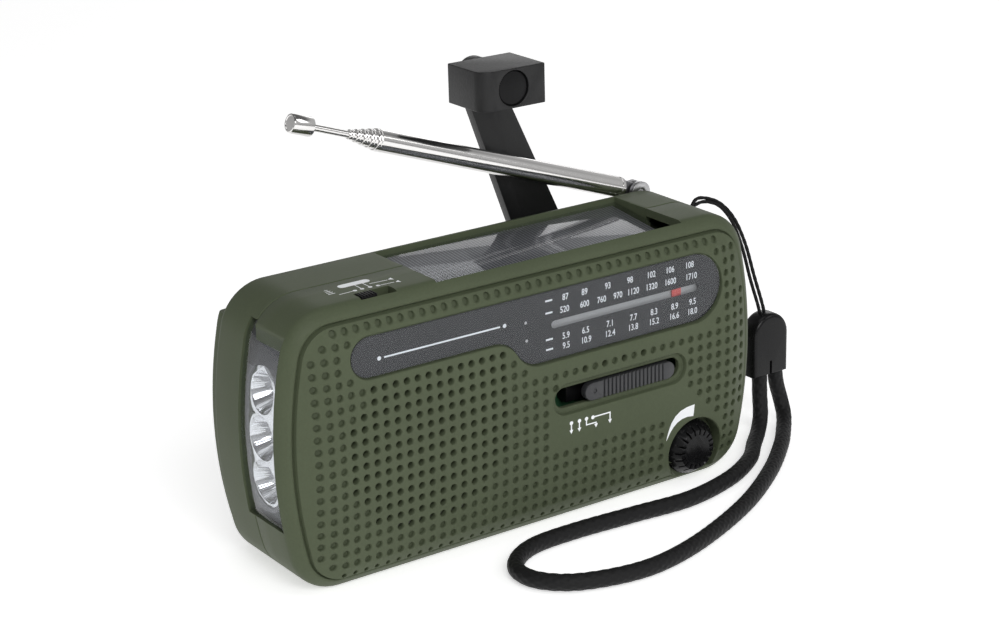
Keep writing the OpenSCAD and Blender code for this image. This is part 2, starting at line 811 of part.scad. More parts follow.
// a round cord of radius r swept along a route with n sides
module cord(route, r, n) {
    m = len(route);
    rings = [for (i = [0:m - 1])
        let (t = unit(route[min(i + 1, m - 1)] - route[max(i - 1, 0)]),
            u = unit(cross(t, abs(t[2]) > 0.8 ? [0, 1, 0] : [0, 0, 1])), w = cross(u, t))
        [for (k = [0:n - 1]) route[i] + r * (cos(360 * k / n) * u + sin(360 * k / n) * w)]];
    polyhedron([for (q = rings) each q], concat([[for (k = [n - 1:-1:0]) k]], [[for (k = [0:n - 1]) (m - 1) * n + k]],
        [for (i = [0:m - 2], k = [0:n - 1])
            each [[i * n + k, i * n + (k + 1) % n, (i + 1) * n + (k + 1) % n],
                [i * n + k, (i + 1) * n + (k + 1) % n, (i + 1) * n + k]]]));
}

module strap_cord() {
    color("#1a1a1c") cord(cord_path, cord_d / 2, 8);
}

module strap_rope() {
    color("#1a1a1c") cord(rope_path, rope_d / 2, 10);
}

module strap_ferrule() {
    color("#141416") difference() {
        union() {
            block([85.9, -2, 17.6], [98.7, 4, 31]);
            intersection() {
                ycyl(92.3, 29.4, 6.4, -2, 4);
                block([85, -3, 29], [99, 5, 36]);
            }
        }
        block([91.7, -3, 16], [92.7, 5, 22]);
    }
}

front_shell();
rear_shell();
dial_window();
dial_film();
dial_plate();
pointer();
translate([wheel[0], 0, wheel[1]]) tuning_wheel();
solar_panel();
solar_cover();
torch_lens();
torch_bezel();
torch_reflector();
torch_leds();
torch_board();
speaker_frame();
speaker_cone();
speaker_magnet();
main_board();
tuning_capacitor();
volume_pot();
translate([vol[0], 0, vol[1]]) volume_knob();
band_switch();
band_slider();
mode_switch();
mode_slider();
ferrite_rod();
ferrite_coil();
battery_cells();
battery_door();
battery_contacts();
gear_plate();
drive_gear();
idler_gear();
idler_axle();
dynamo_can();
dynamo_coil();
dynamo_rotor();
crank_hub();
crank_pin();
crank_arm();
knob_spindle();
crank_knob();
knob_cap();
antenna_bracket();
bracket_screws();
antenna_screw();
antenna_knuckle();
antenna_tube_1();
antenna_tube_2();
antenna_tube_3();
antenna_tube_4();
antenna_tube_5();
antenna_tip();
earphone_jack();
charge_socket();
housing_screws();
strap_cord();
strap_ferrule();
strap_rope();
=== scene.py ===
"""Emergency radio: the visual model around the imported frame. Metres; helper lengths are in millimetres."""
import bpy, bmesh, json, math
from mathutils import Vector, Matrix
from mathutils.geometry import delaunay_2d_cdt


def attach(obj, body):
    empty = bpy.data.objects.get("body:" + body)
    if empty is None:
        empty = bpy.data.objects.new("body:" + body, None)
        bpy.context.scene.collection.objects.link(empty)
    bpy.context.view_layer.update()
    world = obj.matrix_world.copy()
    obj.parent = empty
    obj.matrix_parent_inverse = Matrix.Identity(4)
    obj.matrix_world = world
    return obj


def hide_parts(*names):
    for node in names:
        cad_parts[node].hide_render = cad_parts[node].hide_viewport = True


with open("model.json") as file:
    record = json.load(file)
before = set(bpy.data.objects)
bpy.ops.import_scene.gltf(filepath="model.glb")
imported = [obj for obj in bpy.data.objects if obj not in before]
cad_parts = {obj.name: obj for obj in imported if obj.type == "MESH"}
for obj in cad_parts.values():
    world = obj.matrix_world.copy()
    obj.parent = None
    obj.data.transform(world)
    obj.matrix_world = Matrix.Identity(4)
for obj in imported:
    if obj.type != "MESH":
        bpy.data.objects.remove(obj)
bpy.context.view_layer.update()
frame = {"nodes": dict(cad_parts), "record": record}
MM = 0.001
sin, cos, pi, rad = math.sin, math.cos, math.pi, math.radians


# ---------------------------------------------------------------- helpers
def add_mesh(name, verts, faces, mat=None, smooth=40, mats=None, index=None):
    """An object from millimetre vertices and faces, smooth with edges sharper than smooth degrees kept."""
    me = bpy.data.meshes.new(name)
    me.from_pydata([(v[0] * MM, v[1] * MM, v[2] * MM) for v in verts], [], faces)
    me.validate()
    ob = bpy.data.objects.new(name, me)
    bpy.context.scene.collection.objects.link(ob)
    for m in mats or ([mat] if mat else []):
        me.materials.append(m)
    if index:
        for p, i in zip(me.polygons, index):
            p.material_index = i
    shade(ob, smooth)
    return ob


def shade(ob, angle=40):
    me = ob.data
    me.polygons.foreach_set("use_smooth", [angle > 0] * len(me.polygons))
    if angle:
        me.set_sharp_from_angle(angle=rad(angle))
    me.update()


def paint(ob, mat):
    """Makes mat the only material of the whole mesh."""
    me = ob.data
    me.materials.clear()
    me.materials.append(mat)
    for p in me.polygons:
        p.material_index = 0


def clean(ob, dist=1e-6):
    bm = bmesh.new()
    bm.from_mesh(ob.data)
    bmesh.ops.remove_doubles(bm, verts=bm.verts, dist=dist)
    bmesh.ops.recalc_face_normals(bm, faces=bm.faces)
    bm.to_mesh(ob.data)
    bm.free()


def apply_mods(ob):
    dg = bpy.context.evaluated_depsgraph_get()
    me = bpy.data.meshes.new_from_object(ob.evaluated_get(dg))
    ob.modifiers.clear()
    old = ob.data
    ob.data = me
    bpy.data.meshes.remove(old)


def boolean(ob, cutters, op="DIFFERENCE"):
    for c in cutters:
        m = ob.modifiers.new("b", "BOOLEAN")
        m.operation = op
        m.object = c
        m.solver = "EXACT"
        m.material_mode = "INDEX"
    apply_mods(ob)
    for c in cutters:
        bpy.data.objects.remove(c)


def bevel(ob, width, segments=2, angle=32):
    """Rounds every edge sharper than angle degrees."""
    m = ob.modifiers.new("v", "BEVEL")
    m.width = width * MM
    m.segments = segments
    m.limit_method = "ANGLE"
    m.angle_limit = rad(angle)
    m.use_clamp_overlap = True
    m.harden_normals = False
    apply_mods(ob)


def loft(loops, closed_ends=(False, False)):
    """Quads between closed loops of equal length; ends filled as n-gons when asked."""
    n = len(loops[0])
    verts = [p for l in loops for p in l]
    faces = []
    for i in range(len(loops) - 1):
        for k in range(n):
            a, b = i * n + k, i * n + (k + 1) % n
            faces.append((a, b, b + n, a + n))
    if closed_ends[0]:
        faces.append(tuple(range(n - 1, -1, -1)))
    if closed_ends[1]:
        faces.append(tuple(range((len(loops) - 1) * n, len(loops) * n)))
    return verts, faces


def box_ob(name, a, b):
    v = [(x, y, z) for x in (a[0], b[0]) for y in (a[1], b[1]) for z in (a[2], b[2])]
    f = [(0, 1, 3, 2), (4, 6, 7, 5), (0, 4, 5, 1), (2, 3, 7, 6), (0, 2, 6, 4), (1, 5, 7, 3)]
    return add_mesh(name, v, f, smooth=0)


def turned(name, origin, direction, profile, n=48, mat=None, smooth=35):
    """A solid of revolution: profile is [(distance along direction, radius), ...] from end to end."""
    d = Vector(direction).normalized()
    u = d.orthogonal().normalized()
    w = d.cross(u)
    loops = []
    for s, r in profile:
        c = Vector(origin) + d * s
        loops.append([tuple(c + (u * cos(2 * pi * k / n) + w * sin(2 * pi * k / n)) * max(r, 1e-4))
                      for k in range(n)])
    v, f = loft(loops, (True, True))
    ob = add_mesh(name, v, f, mat, smooth)
    clean(ob, 2e-7)
    shade(ob, smooth)
    return ob


def join(name, obs):
    """One mesh out of several, keeping each one's materials."""
    bm = bmesh.new()
    mats = []
    for o in obs:
        base = []
        for m in o.data.materials:
            if m not in mats:
                mats.append(m)
            base.append(mats.index(m))
        n0 = len(bm.faces)
        bm.from_mesh(o.data)
        bm.faces.ensure_lookup_table()
        for f in bm.faces[n0:]:
            f.material_index = base[f.material_index] if base else 0
    me = bpy.data.meshes.new(name)
    bm.to_mesh(me)
    bm.free()
    for m in mats:
        me.materials.append(m)
    for o in obs:
        bpy.data.objects.remove(o)
    ob = bpy.data.objects.new(name, me)
    bpy.context.scene.collection.objects.link(ob)
    return ob


def soften(node, width, mat, segments=2):
    """A copy of a CAD node with its edges rounded, standing for the node."""
    src = frame["nodes"][node]
    me = src.data.copy()
    ob = bpy.data.objects.new("v_" + node, me)
    bpy.context.scene.collection.objects.link(ob)
    ob.matrix_world = src.matrix_world.copy()
    bm = bmesh.new()
    bm.from_mesh(me)
    bmesh.ops.remove_doubles(bm, verts=bm.verts, dist=2e-6)
    bmesh.ops.dissolve_limit(bm, angle_limit=rad(1.0), verts=bm.verts, edges=bm.edges)
    bm.to_mesh(me)
    bm.free()
    paint(ob, mat)
    if width:
        bevel(ob, width, segments)
    shade(ob, 40)
    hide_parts(node)
    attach(ob, BODY[node])
    return ob


BODY = {n: b for b, ns in frame["record"]["behaviour"]["bodies"].items() for n in ns}


# ---------------------------------------------------------------- materials
def material(name, color, rough, grain=0.0, grain_scale=900, bump=0.0, metallic=0.0, vary=0.06, **sock):
    """Principled material: colour and roughness vary with noise, grain gives a fine bump."""
    m = bpy.data.materials.new(name)
    m.use_nodes = True
    nt = m.node_tree
    b = nt.nodes["Principled BSDF"]
    N, L = nt.nodes.new, nt.links.new
    tc = N("ShaderNodeTexCoord")
    big = N("ShaderNodeTexNoise")
    big.inputs["Scale"].default_value = 38
    big.inputs["Detail"].default_value = 4
    fine = N("ShaderNodeTexNoise")
    fine.inputs["Scale"].default_value = grain_scale
    fine.inputs["Detail"].default_value = 3
    L(tc.outputs["Object"], big.inputs["Vector"])
    L(tc.outputs["Object"], fine.inputs["Vector"])
    r = N("ShaderNodeValToRGB")
    lo = [c * (1 - vary) for c in color[:3]] + [1]
    hi = [min(1, c * (1 + vary)) for c in color[:3]] + [1]
    r.color_ramp.elements[0].position, r.color_ramp.elements[1].position = 0.3, 0.7
    r.color_ramp.elements[0].color, r.color_ramp.elements[1].color = lo, hi
    L(big.outputs["Fac"], r.inputs["Fac"])
    mx = N("ShaderNodeMix")
    mx.data_type = "RGBA"
    mx.blend_type = "MULTIPLY"
    mx.inputs["Factor"].default_value = 1.0
    fr = N("ShaderNodeMapRange")
    fr.inputs["To Min"].default_value = 1 - grain
    fr.inputs["To Max"].default_value = 1 + grain
    L(fine.outputs["Fac"], fr.inputs["Value"])
    L(r.outputs["Color"], mx.inputs["A"])
    L(fr.outputs["Result"], mx.inputs["B"])
    L(mx.outputs["Result"], b.inputs["Base Color"])
    rr = N("ShaderNodeMapRange")
    rr.inputs["To Min"].default_value = rough * 0.85
    rr.inputs["To Max"].default_value = min(1, rough * 1.15)
    L(fine.outputs["Fac"], rr.inputs["Value"])
    L(rr.outputs["Result"], b.inputs["Roughness"])
    if bump:
        bp = N("ShaderNodeBump")
        bp.inputs["Strength"].default_value = bump
        bp.inputs["Distance"].default_value = 0.0001
        L(fine.outputs["Fac"], bp.inputs["Height"])
        L(bp.outputs["Normal"], b.inputs["Normal"])
    b.inputs["Metallic"].default_value = metallic
    for k, v in sock.items():
        b.inputs[k.replace("_", " ")].default_value = v
    return m


GREEN = material("olive_plastic", (0.076, 0.092, 0.054), 0.5, 0.10, 1500, 0.22,
                 vary=0.05, Specular_IOR_Level=0.14)
BLACK = material("black_plastic", (0.006, 0.006, 0.0065), 0.42, 0.15, 1600, 0.25, Specular_IOR_Level=0.16)
ARM = material("arm_plastic", (0.007, 0.007, 0.0075), 0.45, 0.2, 1300, 0.45, Specular_IOR_Level=0.4)
SATIN = material("satin_black", (0.006, 0.006, 0.0065), 0.26, 0.05, 900, 0.05, Specular_IOR_Level=0.22)
SLIDER = material("slider_grey", (0.030, 0.031, 0.034), 0.38, 0.1, 1500, 0.15)
FILM = material("dial_print", (0.040, 0.040, 0.042), 0.45, 0.03, 1200, 0.0, vary=0.02, Specular_IOR_Level=0.2)
INK = material("white_ink", (0.88, 0.90, 0.92), 0.5, 0.04, 1600, 0.05, vary=0.03)
TRACK = material("track_grey", (0.50, 0.50, 0.50), 0.4, 0.03, 900, 0.05)
RED = material("pointer_red", (0.62, 0.10, 0.09), 0.3, 0.04, 900, 0.03)
LEDGLASS = material("lamp_epoxy", (0.93, 0.95, 0.98), 0.04, 0.0, 600, 0.0, Transmission_Weight=0.9, IOR=1.5)
MIRROR = material("reflector_metal", (0.90, 0.90, 0.91), 0.10, 0.02, 500, 0.03, metallic=1.0, vary=0.02)
CHROME = material("antenna_chrome", (0.80, 0.79, 0.78), 0.13, 0.02, 700, 0.02, metallic=1.0, vary=0.02)
STEEL = material("plated_steel", (0.50, 0.50, 0.51), 0.30, 0.06, 1200, 0.08, metallic=1.0)
DULL = material("dull_zinc", (0.26, 0.26, 0.27), 0.38, 0.10, 1200, 0.12, metallic=1.0)
BOARD = material("circuit_board", (0.03, 0.11, 0.05), 0.45, 0.1, 700, 0.08)
COPPER = material("enamelled_wire", (0.50, 0.20, 0.07), 0.3, 0.1, 1200, 0.3, metallic=0.8)
NATURAL = material("gear_nylon", (0.68, 0.65, 0.55), 0.45, 0.04, 900, 0.05)
PAPER = material("cone_paper", (0.015, 0.015, 0.016), 0.8, 0.2, 500, 0.6)
FERRITE = material("ferrite", (0.05, 0.05, 0.055), 0.6, 0.15, 900, 0.3)
SLEEVE = material("cell_sleeve", (0.03, 0.10, 0.26), 0.25, 0.03, 900, 0.03)
ROPE = material("braid_yarn", (0.007, 0.007, 0.0075), 0.6, 0.35, 1700, 0.5,
                Specular_IOR_Level=0.25, Sheen_Weight=0.04, Sheen_Roughness=0.4)
CORD = material("cord_yarn", (0.007, 0.007, 0.0075), 0.6, 0.3, 2200, 0.5, Specular_IOR_Level=0.2)
CHIP = material("lamp_chip", (0.85, 0.62, 0.12), 0.4, 0.05, 900, 0.05)


def clear(name, color, ior, rough, grain_scale=500):
    """Clear plastic: what is behind shows through, and the surface mirrors more at a grazing view."""
    m = material(name, color, rough, 0.0, grain_scale, 0.0, metallic=1.0, vary=0.01)
    nt = m.node_tree
    b = nt.nodes["Principled BSDF"]
    out = nt.nodes["Material Output"]
    tr = nt.nodes.new("ShaderNodeBsdfTransparent")
    tr.inputs["Color"].default_value = (0.93, 0.94, 0.95, 1)
    fr = nt.nodes.new("ShaderNodeLayerWeight")
    fr.inputs["Blend"].default_value = 0.5
    pw = nt.nodes.new("ShaderNodeMath")
    pw.operation = "POWER"
    pw.inputs[1].default_value = 4.5
    share = nt.nodes.new("ShaderNodeMath")
    share.operation = "MULTIPLY_ADD"
    share.inputs[1].default_value = 0.65
    share.inputs[2].default_value = (ior - 1) ** 2 / (ior + 1) ** 2 * 0.7
    nt.links.new(fr.outputs["Facing"], pw.inputs[0])
    nt.links.new(pw.outputs[0], share.inputs[0])
    mix = nt.nodes.new("ShaderNodeMixShader")
    nt.links.new(share.outputs[0], mix.inputs["Fac"])
    nt.links.new(tr.outputs["BSDF"], mix.inputs[1])
    nt.links.new(b.outputs["BSDF"], mix.inputs[2])
    nt.links.new(mix.outputs["Shader"], out.inputs["Surface"])
    return m


CLEAR = clear("clear_window", (0.75, 0.75, 0.76), 1.45, 0.05)


def striped(name, dark, light, pitch, share, axis, rough, low=None):
    """Dark with fine light lines across an axis or, with low, light below that height and dark above."""
    m = material(name, dark, rough, 0.05, 800, 0.03)
    nt = m.node_tree
    N, L = nt.nodes.new, nt.links.new
    b = nt.nodes["Principled BSDF"]
    old = b.inputs["Base Color"].links[0].from_socket
    tc = N("ShaderNodeTexCoord")
    sep = N("ShaderNodeSeparateXYZ")
    L(tc.outputs["Object"], sep.inputs["Vector"])
    mth = N("ShaderNodeMath")
    if low is None:
        mth.operation = "PINGPONG"
        mth.inputs[1].default_value = pitch * MM / 2
        L(sep.outputs[axis], mth.inputs[0])
        cmp_ = N("ShaderNodeMath")
        cmp_.operation = "LESS_THAN"
        cmp_.inputs[1].default_value = pitch * MM / 2 * share
        L(mth.outputs[0], cmp_.inputs[0])
    else:
        cmp_ = N("ShaderNodeMath")
        cmp_.operation = "LESS_THAN"
        cmp_.inputs[1].default_value = low * MM
        L(sep.outputs[axis], cmp_.inputs[0])
    mx = N("ShaderNodeMix")
    mx.data_type = "RGBA"
    L(cmp_.outputs[0], mx.inputs["Factor"])
    L(old, mx.inputs["A"])
    mx.inputs["B"].default_value = (*light, 1)
    L(mx.outputs["Result"], b.inputs["Base Color"])
    return m


SOLAR = striped("solar_cells", (0.085, 0.085, 0.09), (0.26, 0.26, 0.27), 1.0, 0.3, "X", 0.4)
BEZEL = striped("torch_frame", (0.030, 0.031, 0.034), (0.13, 0.135, 0.14), 1, 0.5, "Z", 0.4, low=57.5)


# ---------------------------------------------------------------- camera, light and floor
def look(azimuth, elevation, roll):
    az, el, ro = rad(azimuth), rad(elevation), rad(roll)
    f = Vector((sin(az) * cos(el), cos(az) * cos(el), sin(el)))
    r0 = Vector((cos(az), -sin(az), 0))
    u0 = r0.cross(f)
    r = r0 * cos(ro) + u0 * sin(ro)
    u = r.cross(f)
    return Matrix((r, u, -f)).transposed().to_4x4()


cam_data = bpy.data.cameras.new("camera")
cam_data.lens = 84.4
cam_data.sensor_width = 36
cam_data.clip_start = 0.01
cam = bpy.data.objects.new("camera", cam_data)
cam.matrix_world = Matrix.Translation(Vector((-325.2, -475.1, 258.3)) * MM) @ look(34.41, -19.52, -1.53)
bpy.context.scene.collection.objects.link(cam)
bpy.context.scene.camera = cam


def area(name, loc, size, power, target=(0, 0, 0.04), size_y=None):
    """A square light, or an oblong one with size_y, turned towards target. In metres and watts."""
    d = bpy.data.lights.new(name, "AREA")
    d.energy = power
    d.size = size
    if size_y:
        d.shape = "RECTANGLE"
        d.size_y = size_y
    o = bpy.data.objects.new(name, d)
    o.location = loc
    o.rotation_euler = (Vector(target) - Vector(loc)).to_track_quat("-Z", "Y").to_euler()
    bpy.context.scene.collection.objects.link(o)


area("key", (-0.32, -0.9, 0.75), 0.55, 6.0)
area("top", (-0.1, 0.1, 1.1), 0.7, 1.1)
area("fill", (0.75, -0.8, 0.9), 0.6, 2.4)
area("back", (0.75, 0.95, 0.42), 0.6, 0.9, size_y=0.35)

world = bpy.data.worlds.new("studio")
world.use_nodes = True
wt = world.node_tree
bg = wt.nodes["Background"]
wc = wt.nodes.new("ShaderNodeTexCoord")
ws = wt.nodes.new("ShaderNodeSeparateXYZ")
wr = wt.nodes.new("ShaderNodeValToRGB")
wt.links.new(wc.outputs["Generated"], ws.inputs["Vector"])
wt.links.new(ws.outputs["Z"], wr.inputs["Fac"])
wt.links.new(wr.outputs["Color"], bg.inputs["Color"])
stops = ((0.0, 0.35), (0.12, 0.55), (0.32, 0.62), (0.5, 0.6), (0.62, 0.18), (0.85, 0.14), (1.0, 0.4))
while len(wr.color_ramp.elements) < len(stops):
    wr.color_ramp.elements.new(0.5)
for e, (p, c) in zip(wr.color_ramp.elements, stops):
    e.position = p
    e.color = (c, c, c, 1)
bg.inputs["Strength"].default_value = 0.8
bpy.context.scene.world = world
bpy.context.scene.view_settings.view_transform = "Standard"

floor_mat = material("floor_white", (0.93, 0.93, 0.93), 0.9, 0.0, 50, 0.0, vary=0.005, Specular_IOR_Level=0.0)
fb = floor_mat.node_tree.nodes["Principled BSDF"]
fb.inputs["Emission Color"].default_value = (1, 1, 1, 1)
fb.inputs["Emission Strength"].default_value = 0.54
HALF = 3000  # half the floor's width
floor = add_mesh("floor", [(-HALF, -HALF, 0), (HALF, -HALF, 0), (HALF, HALF, 0), (-HALF, HALF, 0)],
                 [(0, 1, 2, 3)], floor_mat, 0)


# ---------------------------------------------------------------- cords
def spline(points, step):
    """Points every step millimetres along a smooth curve through the given ones."""
    P = [Vector(p) for p in points]
    P = [P[0] * 2 - P[1]] + P + [P[-1] * 2 - P[-2]]
    out = []
    for i in range(1, len(P) - 2):
        p0, p1, p2, p3 = P[i - 1:i + 3]
        n = 24
        for k in range(n):
            t = k / n
            out.append(0.5 * ((2 * p1) + (p2 - p0) * t + (2 * p0 - 5 * p1 + 4 * p2 - p3) * t * t
                              + (3 * p1 - p0 - 3 * p2 + p3) * t ** 3))
    out.append(P[-2].copy())
    dist = [0.0]
    for a, b in zip(out, out[1:]):
        dist.append(dist[-1] + (b - a).length)
    n = max(2, round(dist[-1] / step))
    res, j = [], 0
    for k in range(n + 1):
        s = dist[-1] * k / n
        while j < len(out) - 2 and dist[j + 1] < s:
            j += 1
        t = (s - dist[j]) / max(1e-9, dist[j + 1] - dist[j])
        res.append(out[j].lerp(out[j + 1], min(1, t)))
    return res, dist[-1]


def frames(path):
    """Tangent, side and up at each point of a path, carried along without twist."""
    T = []
    for i in range(len(path)):
        T.append((path[min(i + 1, len(path) - 1)] - path[max(i - 1, 0)]).normalized())
    u = T[0].orthogonal().normalized()
    out = []
    for t in T:
        u = (u - t * u.dot(t)).normalized()
        out.append((t, u, t.cross(u)))
    return out


def braid_tube(name, points, r, mat, sides, step, strands, lay, relief):
    """A tube whose surface is raised where the strands of a braid pass over each other."""
    path, length = spline(points, step)
    loops = []
    for i, (p, (_, u, w)) in enumerate(zip(path, frames(path))):
        s = i * step
        loop = []
        for k in range(sides):
            a = 2 * pi * k / sides
            ph = 2 * pi * s / lay
            one = cos(strands * a + ph)
            two = cos(strands * a - ph)
            h = max(one, two) * 0.5 + 0.25 * abs(cos(strands * a)) - 0.35
            q = r - relief + relief * h * 1.3
            loop.append(tuple(p + (u * cos(a) + w * sin(a)) * q))
        loops.append(loop)
    v, f = loft(loops, (True, True))
    ob = add_mesh(name, v, f, mat, 80)
    return ob, path, length


CORD_PATH = [(72.3, 14.3, 62.5), (75.2, 14.6, 65.6), (78.2, 14, 67.6), (81, 12.8, 67.8), (84, 11, 66.2),
             (86.8, 9, 61.5), (88.8, 7, 54), (90, 4.8, 45), (90.9, 2.6, 38), (91.4, 1.6, 34.2),
             (92.6, 1.4, 34.2), (92.4, 2.6, 38.4), (91.6, 5, 45.6), (90.4, 7.6, 54.8), (88.2, 9.8, 62),
             (85, 11.8, 66.6), (81.4, 13.4, 68.6), (78, 14.4, 68.8), (74.8, 13.2, 66.4), (72.6, 12, 62.8)]
ROPE_PATH = [(90.5, 1, 19), (90, 0.2, 12), (88.3, -2.2, 6.2), (84.5, -5.6, 3.2), (78.5, -10.8, 2.5),
             (70.4, -18.2, 2.4), (57.5, -25, 2.4), (40.5, -28.8, 2.4), (22.5, -27.6, 2.4), (4.5, -26.4, 2.4),
             (-9, -27, 2.4), (-17.5, -31, 2.4), (-21.6, -37, 2.4), (-20.5, -44.4, 2.4), (-13.5, -51, 2.4),
             (0, -55, 2.4), (13, -54.6, 2.4), (30, -49.6, 2.4), (51, -40, 2.4), (69.5, -28, 2.4),
             (84, -16, 2.4), (92.5, -7.5, 2.6), (97, -2.4, 4.4), (98, 0.4, 8.4), (97, 1, 13), (96, 1, 19)]
step = 0.25
cord_ob, cpath, clen = braid_tube("strap_cord_twisted", CORD_PATH, 0.56, CORD, 10, 0.3, 2, 2.2, 0.06)
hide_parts("strap_cord")
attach(cord_ob, "case")
rope_ob, rpath, rlen = braid_tube("strap_rope_braided", ROPE_PATH, 2.32, ROPE, 40, step, 8, 3.2, 0.16)
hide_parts("strap_rope")
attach(rope_ob, "case")


# ---------------------------------------------------------------- front shell
W2, H2, RC, RE = 75.0, 37.0, 13.0, 118.0  # half width and height, radii of the corners and of the bowed ends


def outline(d, y=None, nc=10, ne=26, nt=90):
    """The body's outline drawn in by d, from the lower right corner round to the lower left.
    Points are (x, z), or (x, y, z) when y is given."""
    w, h, re, rc = W2 - d, H2 - d, RE - d, max(RC - d, 3)
    kx = w - re + math.sqrt((re - rc) ** 2 - (h - rc) ** 2)
    a = math.asin((h - rc) / (re - rc))
    pts = []

    def arc(cx, cz, r, a0, a1, n):
        for i in range(n):
            t = a0 + (a1 - a0) * i / n
            pts.append((cx + r * cos(t), cz + r * sin(t)))
    arc(kx, H2 - h + rc, rc, -pi / 2, -a, nc)
    arc(w - re, H2, re, -a, a, ne)
    arc(kx, H2 + h - rc, rc, a, pi / 2, nc)
    for i in range(nt):
        pts.append((kx - 2 * kx * i / nt, H2 + h))
    arc(-kx, H2 + h - rc, rc, pi / 2, pi - a, nc)
    arc(re - w, H2, re, pi - a, pi + a, ne)
    arc(-kx, H2 - h + rc, rc, pi + a, 1.5 * pi, nc)
    for i in range(nt):
        pts.append((-kx + 2 * kx * i / nt, H2 - h))
    return pts if y is None else [(x, y, z) for x, z in pts]


# where the corners' arcs are centred in x, and the angle at which they meet the bowed ends
KX = W2 - RE + math.sqrt((RE - RC) ** 2 - (H2 - RC) ** 2)
EA = math.asin((H2 - RC) / (RE - RC))


def inset(x, z):
    """How far inside the outline a point of the front lies: the distance, its distances from the end and
    from the top or base, and its share of the way round a corner, or None where there is none."""
    X, Z = abs(x), abs(z - H2)
    de, dt = RE - math.hypot(X - (W2 - RE), Z), H2 - Z
    if X > KX:
        th = math.atan2(Z - (H2 - RC), X - KX)
        if EA < th < pi / 2:
            return RC - math.hypot(X - KX, Z - (H2 - RC)), de, dt, (th - EA) / (pi / 2 - EA)
    return min(de, dt), de, dt, None


def lower(z):
    """The dome sits a little low in the outline, more so towards the base."""
    return 0.7 * (1 - z / 74)


def dome(x, z):
    """The front surface: a shallow dome that falls away towards the groove inside the rim."""
    d, de, dt, t = inset(x, z + lower(z))
    sag = 0.00156 * (z - 37.9) ** 2
    se = min(1, max(0, (12.5 - de) / 8.5)) ** 1.45
    st = min(1, max(0, (7.2 - dt) / 3.2)) ** 1.3
    sc = 0
    if t is not None:
        sc = min(1, max(0, (9.5 - d) / 5.5)) ** 1.4 * min(1, 4 * min(t, 1 - t))
    return -18.5 + sag + max(0, 3.15 - sag) * (1 - (1 - se) * (1 - st) * (1 - sc))


PITCH, COL_0, ROW_0 = 3.2, 13.6, 12.35  # the lattice of holes: its step, and its origin in steps


def hole_at(i, j):
    return (i - COL_0) * PITCH, (ROW_0 - j) * PITCH


def has_hole(i, j):
    """Which places of the lattice carry a hole or dimple: not those under dial, slider, knob or marks."""
    if (i, j) in ((-4, -8), (-4, -5), (11, -3), (11, -2), (12, -2), (15, 0)):
        return True
    x, z = hole_at(i, j)
    if inset(x, z + lower(z))[0] < (4.85 if j == 11 else 5.2):
        return False
    if j == -9 or j == 11:
        return -5 <= i <= 33 and (j == -9 or i <= 26 or i >= 33)
    if j == -8:
        return i <= -5 or i >= 32
    if j <= -5:
        return i <= -5 or i >= 33
    if j <= -2:
        return i <= 10 or i >= (32 if j == -2 else 33)
    if j == -1:
        return True
    if j <= 5:
        return i <= 14 or i >= max(29, 26 + j)
    return i <= 26 or i >= (32 if j == 6 else 33)


def is_through(i, j):
    """The holes over the speaker and a row right of it go through; the others are dimples."""
    speaker = abs(i - 3) <= 7 and -4 <= j <= 8 and ((i - 3) ** 2 + (j - 1.5) ** 2 < 56 or (j < 2 and i > 3))
    return speaker or (i, j) in ((18, -1), (20, -1), (22, -1), (24, -1))


def slot_loop(x0, x1, z, r, n=18):
    """A slot's outline: two half circles of radius r round (x0, z) and (x1, z)."""
    pts = [(x1 + r * cos(-pi / 2 + pi * k / n), z + r * sin(-pi / 2 + pi * k / n)) for k in range(n + 1)]
    return pts + [(x0 + r * cos(pi / 2 + pi * k / n), z + r * sin(pi / 2 + pi * k / n)) for k in range(n + 1)]


def window_loop(d):
    """The dial window's outline drawn in by d."""
    def arc(cx, cz, r, a0, a1, n):
        return [(cx + r * cos(rad(a0 + (a1 - a0) * i / n)), cz + r * sin(rad(a0 + (a1 - a0) * i / n)))
                for i in range(n + 1)]
    return (arc(-50.2, 60.6, 5.5 - d, 90, 270, 20) + arc(-13.8, 47.07, 8.03 + d, 90, 29.3, 10)
            + arc(0.2, 54.93, 8.03 - d, 209.3, 270, 10)[1:] + arc(50.8, 56.5, 9.6 - d, -90, 90, 28))


def circle(x, z, r, n=12):
    return [(x + r * cos(2 * pi * k / n), z + r * sin(2 * pi * k / n)) for k in range(n)]


def inside(p, loop):
    """Even-odd test of a point in a closed outline."""
    x, z = p
    c = False
    for (x0, z0), (x1, z1) in zip(loop, loop[1:] + loop[:1]):
        if (z0 > z) != (z1 > z) and x < (x1 - x0) * (z - z0) / (z1 - z0) + x0:
            c = not c
    return c


CELL = 4  # side of the squares that sort the holes, so that each triangle is tested against few


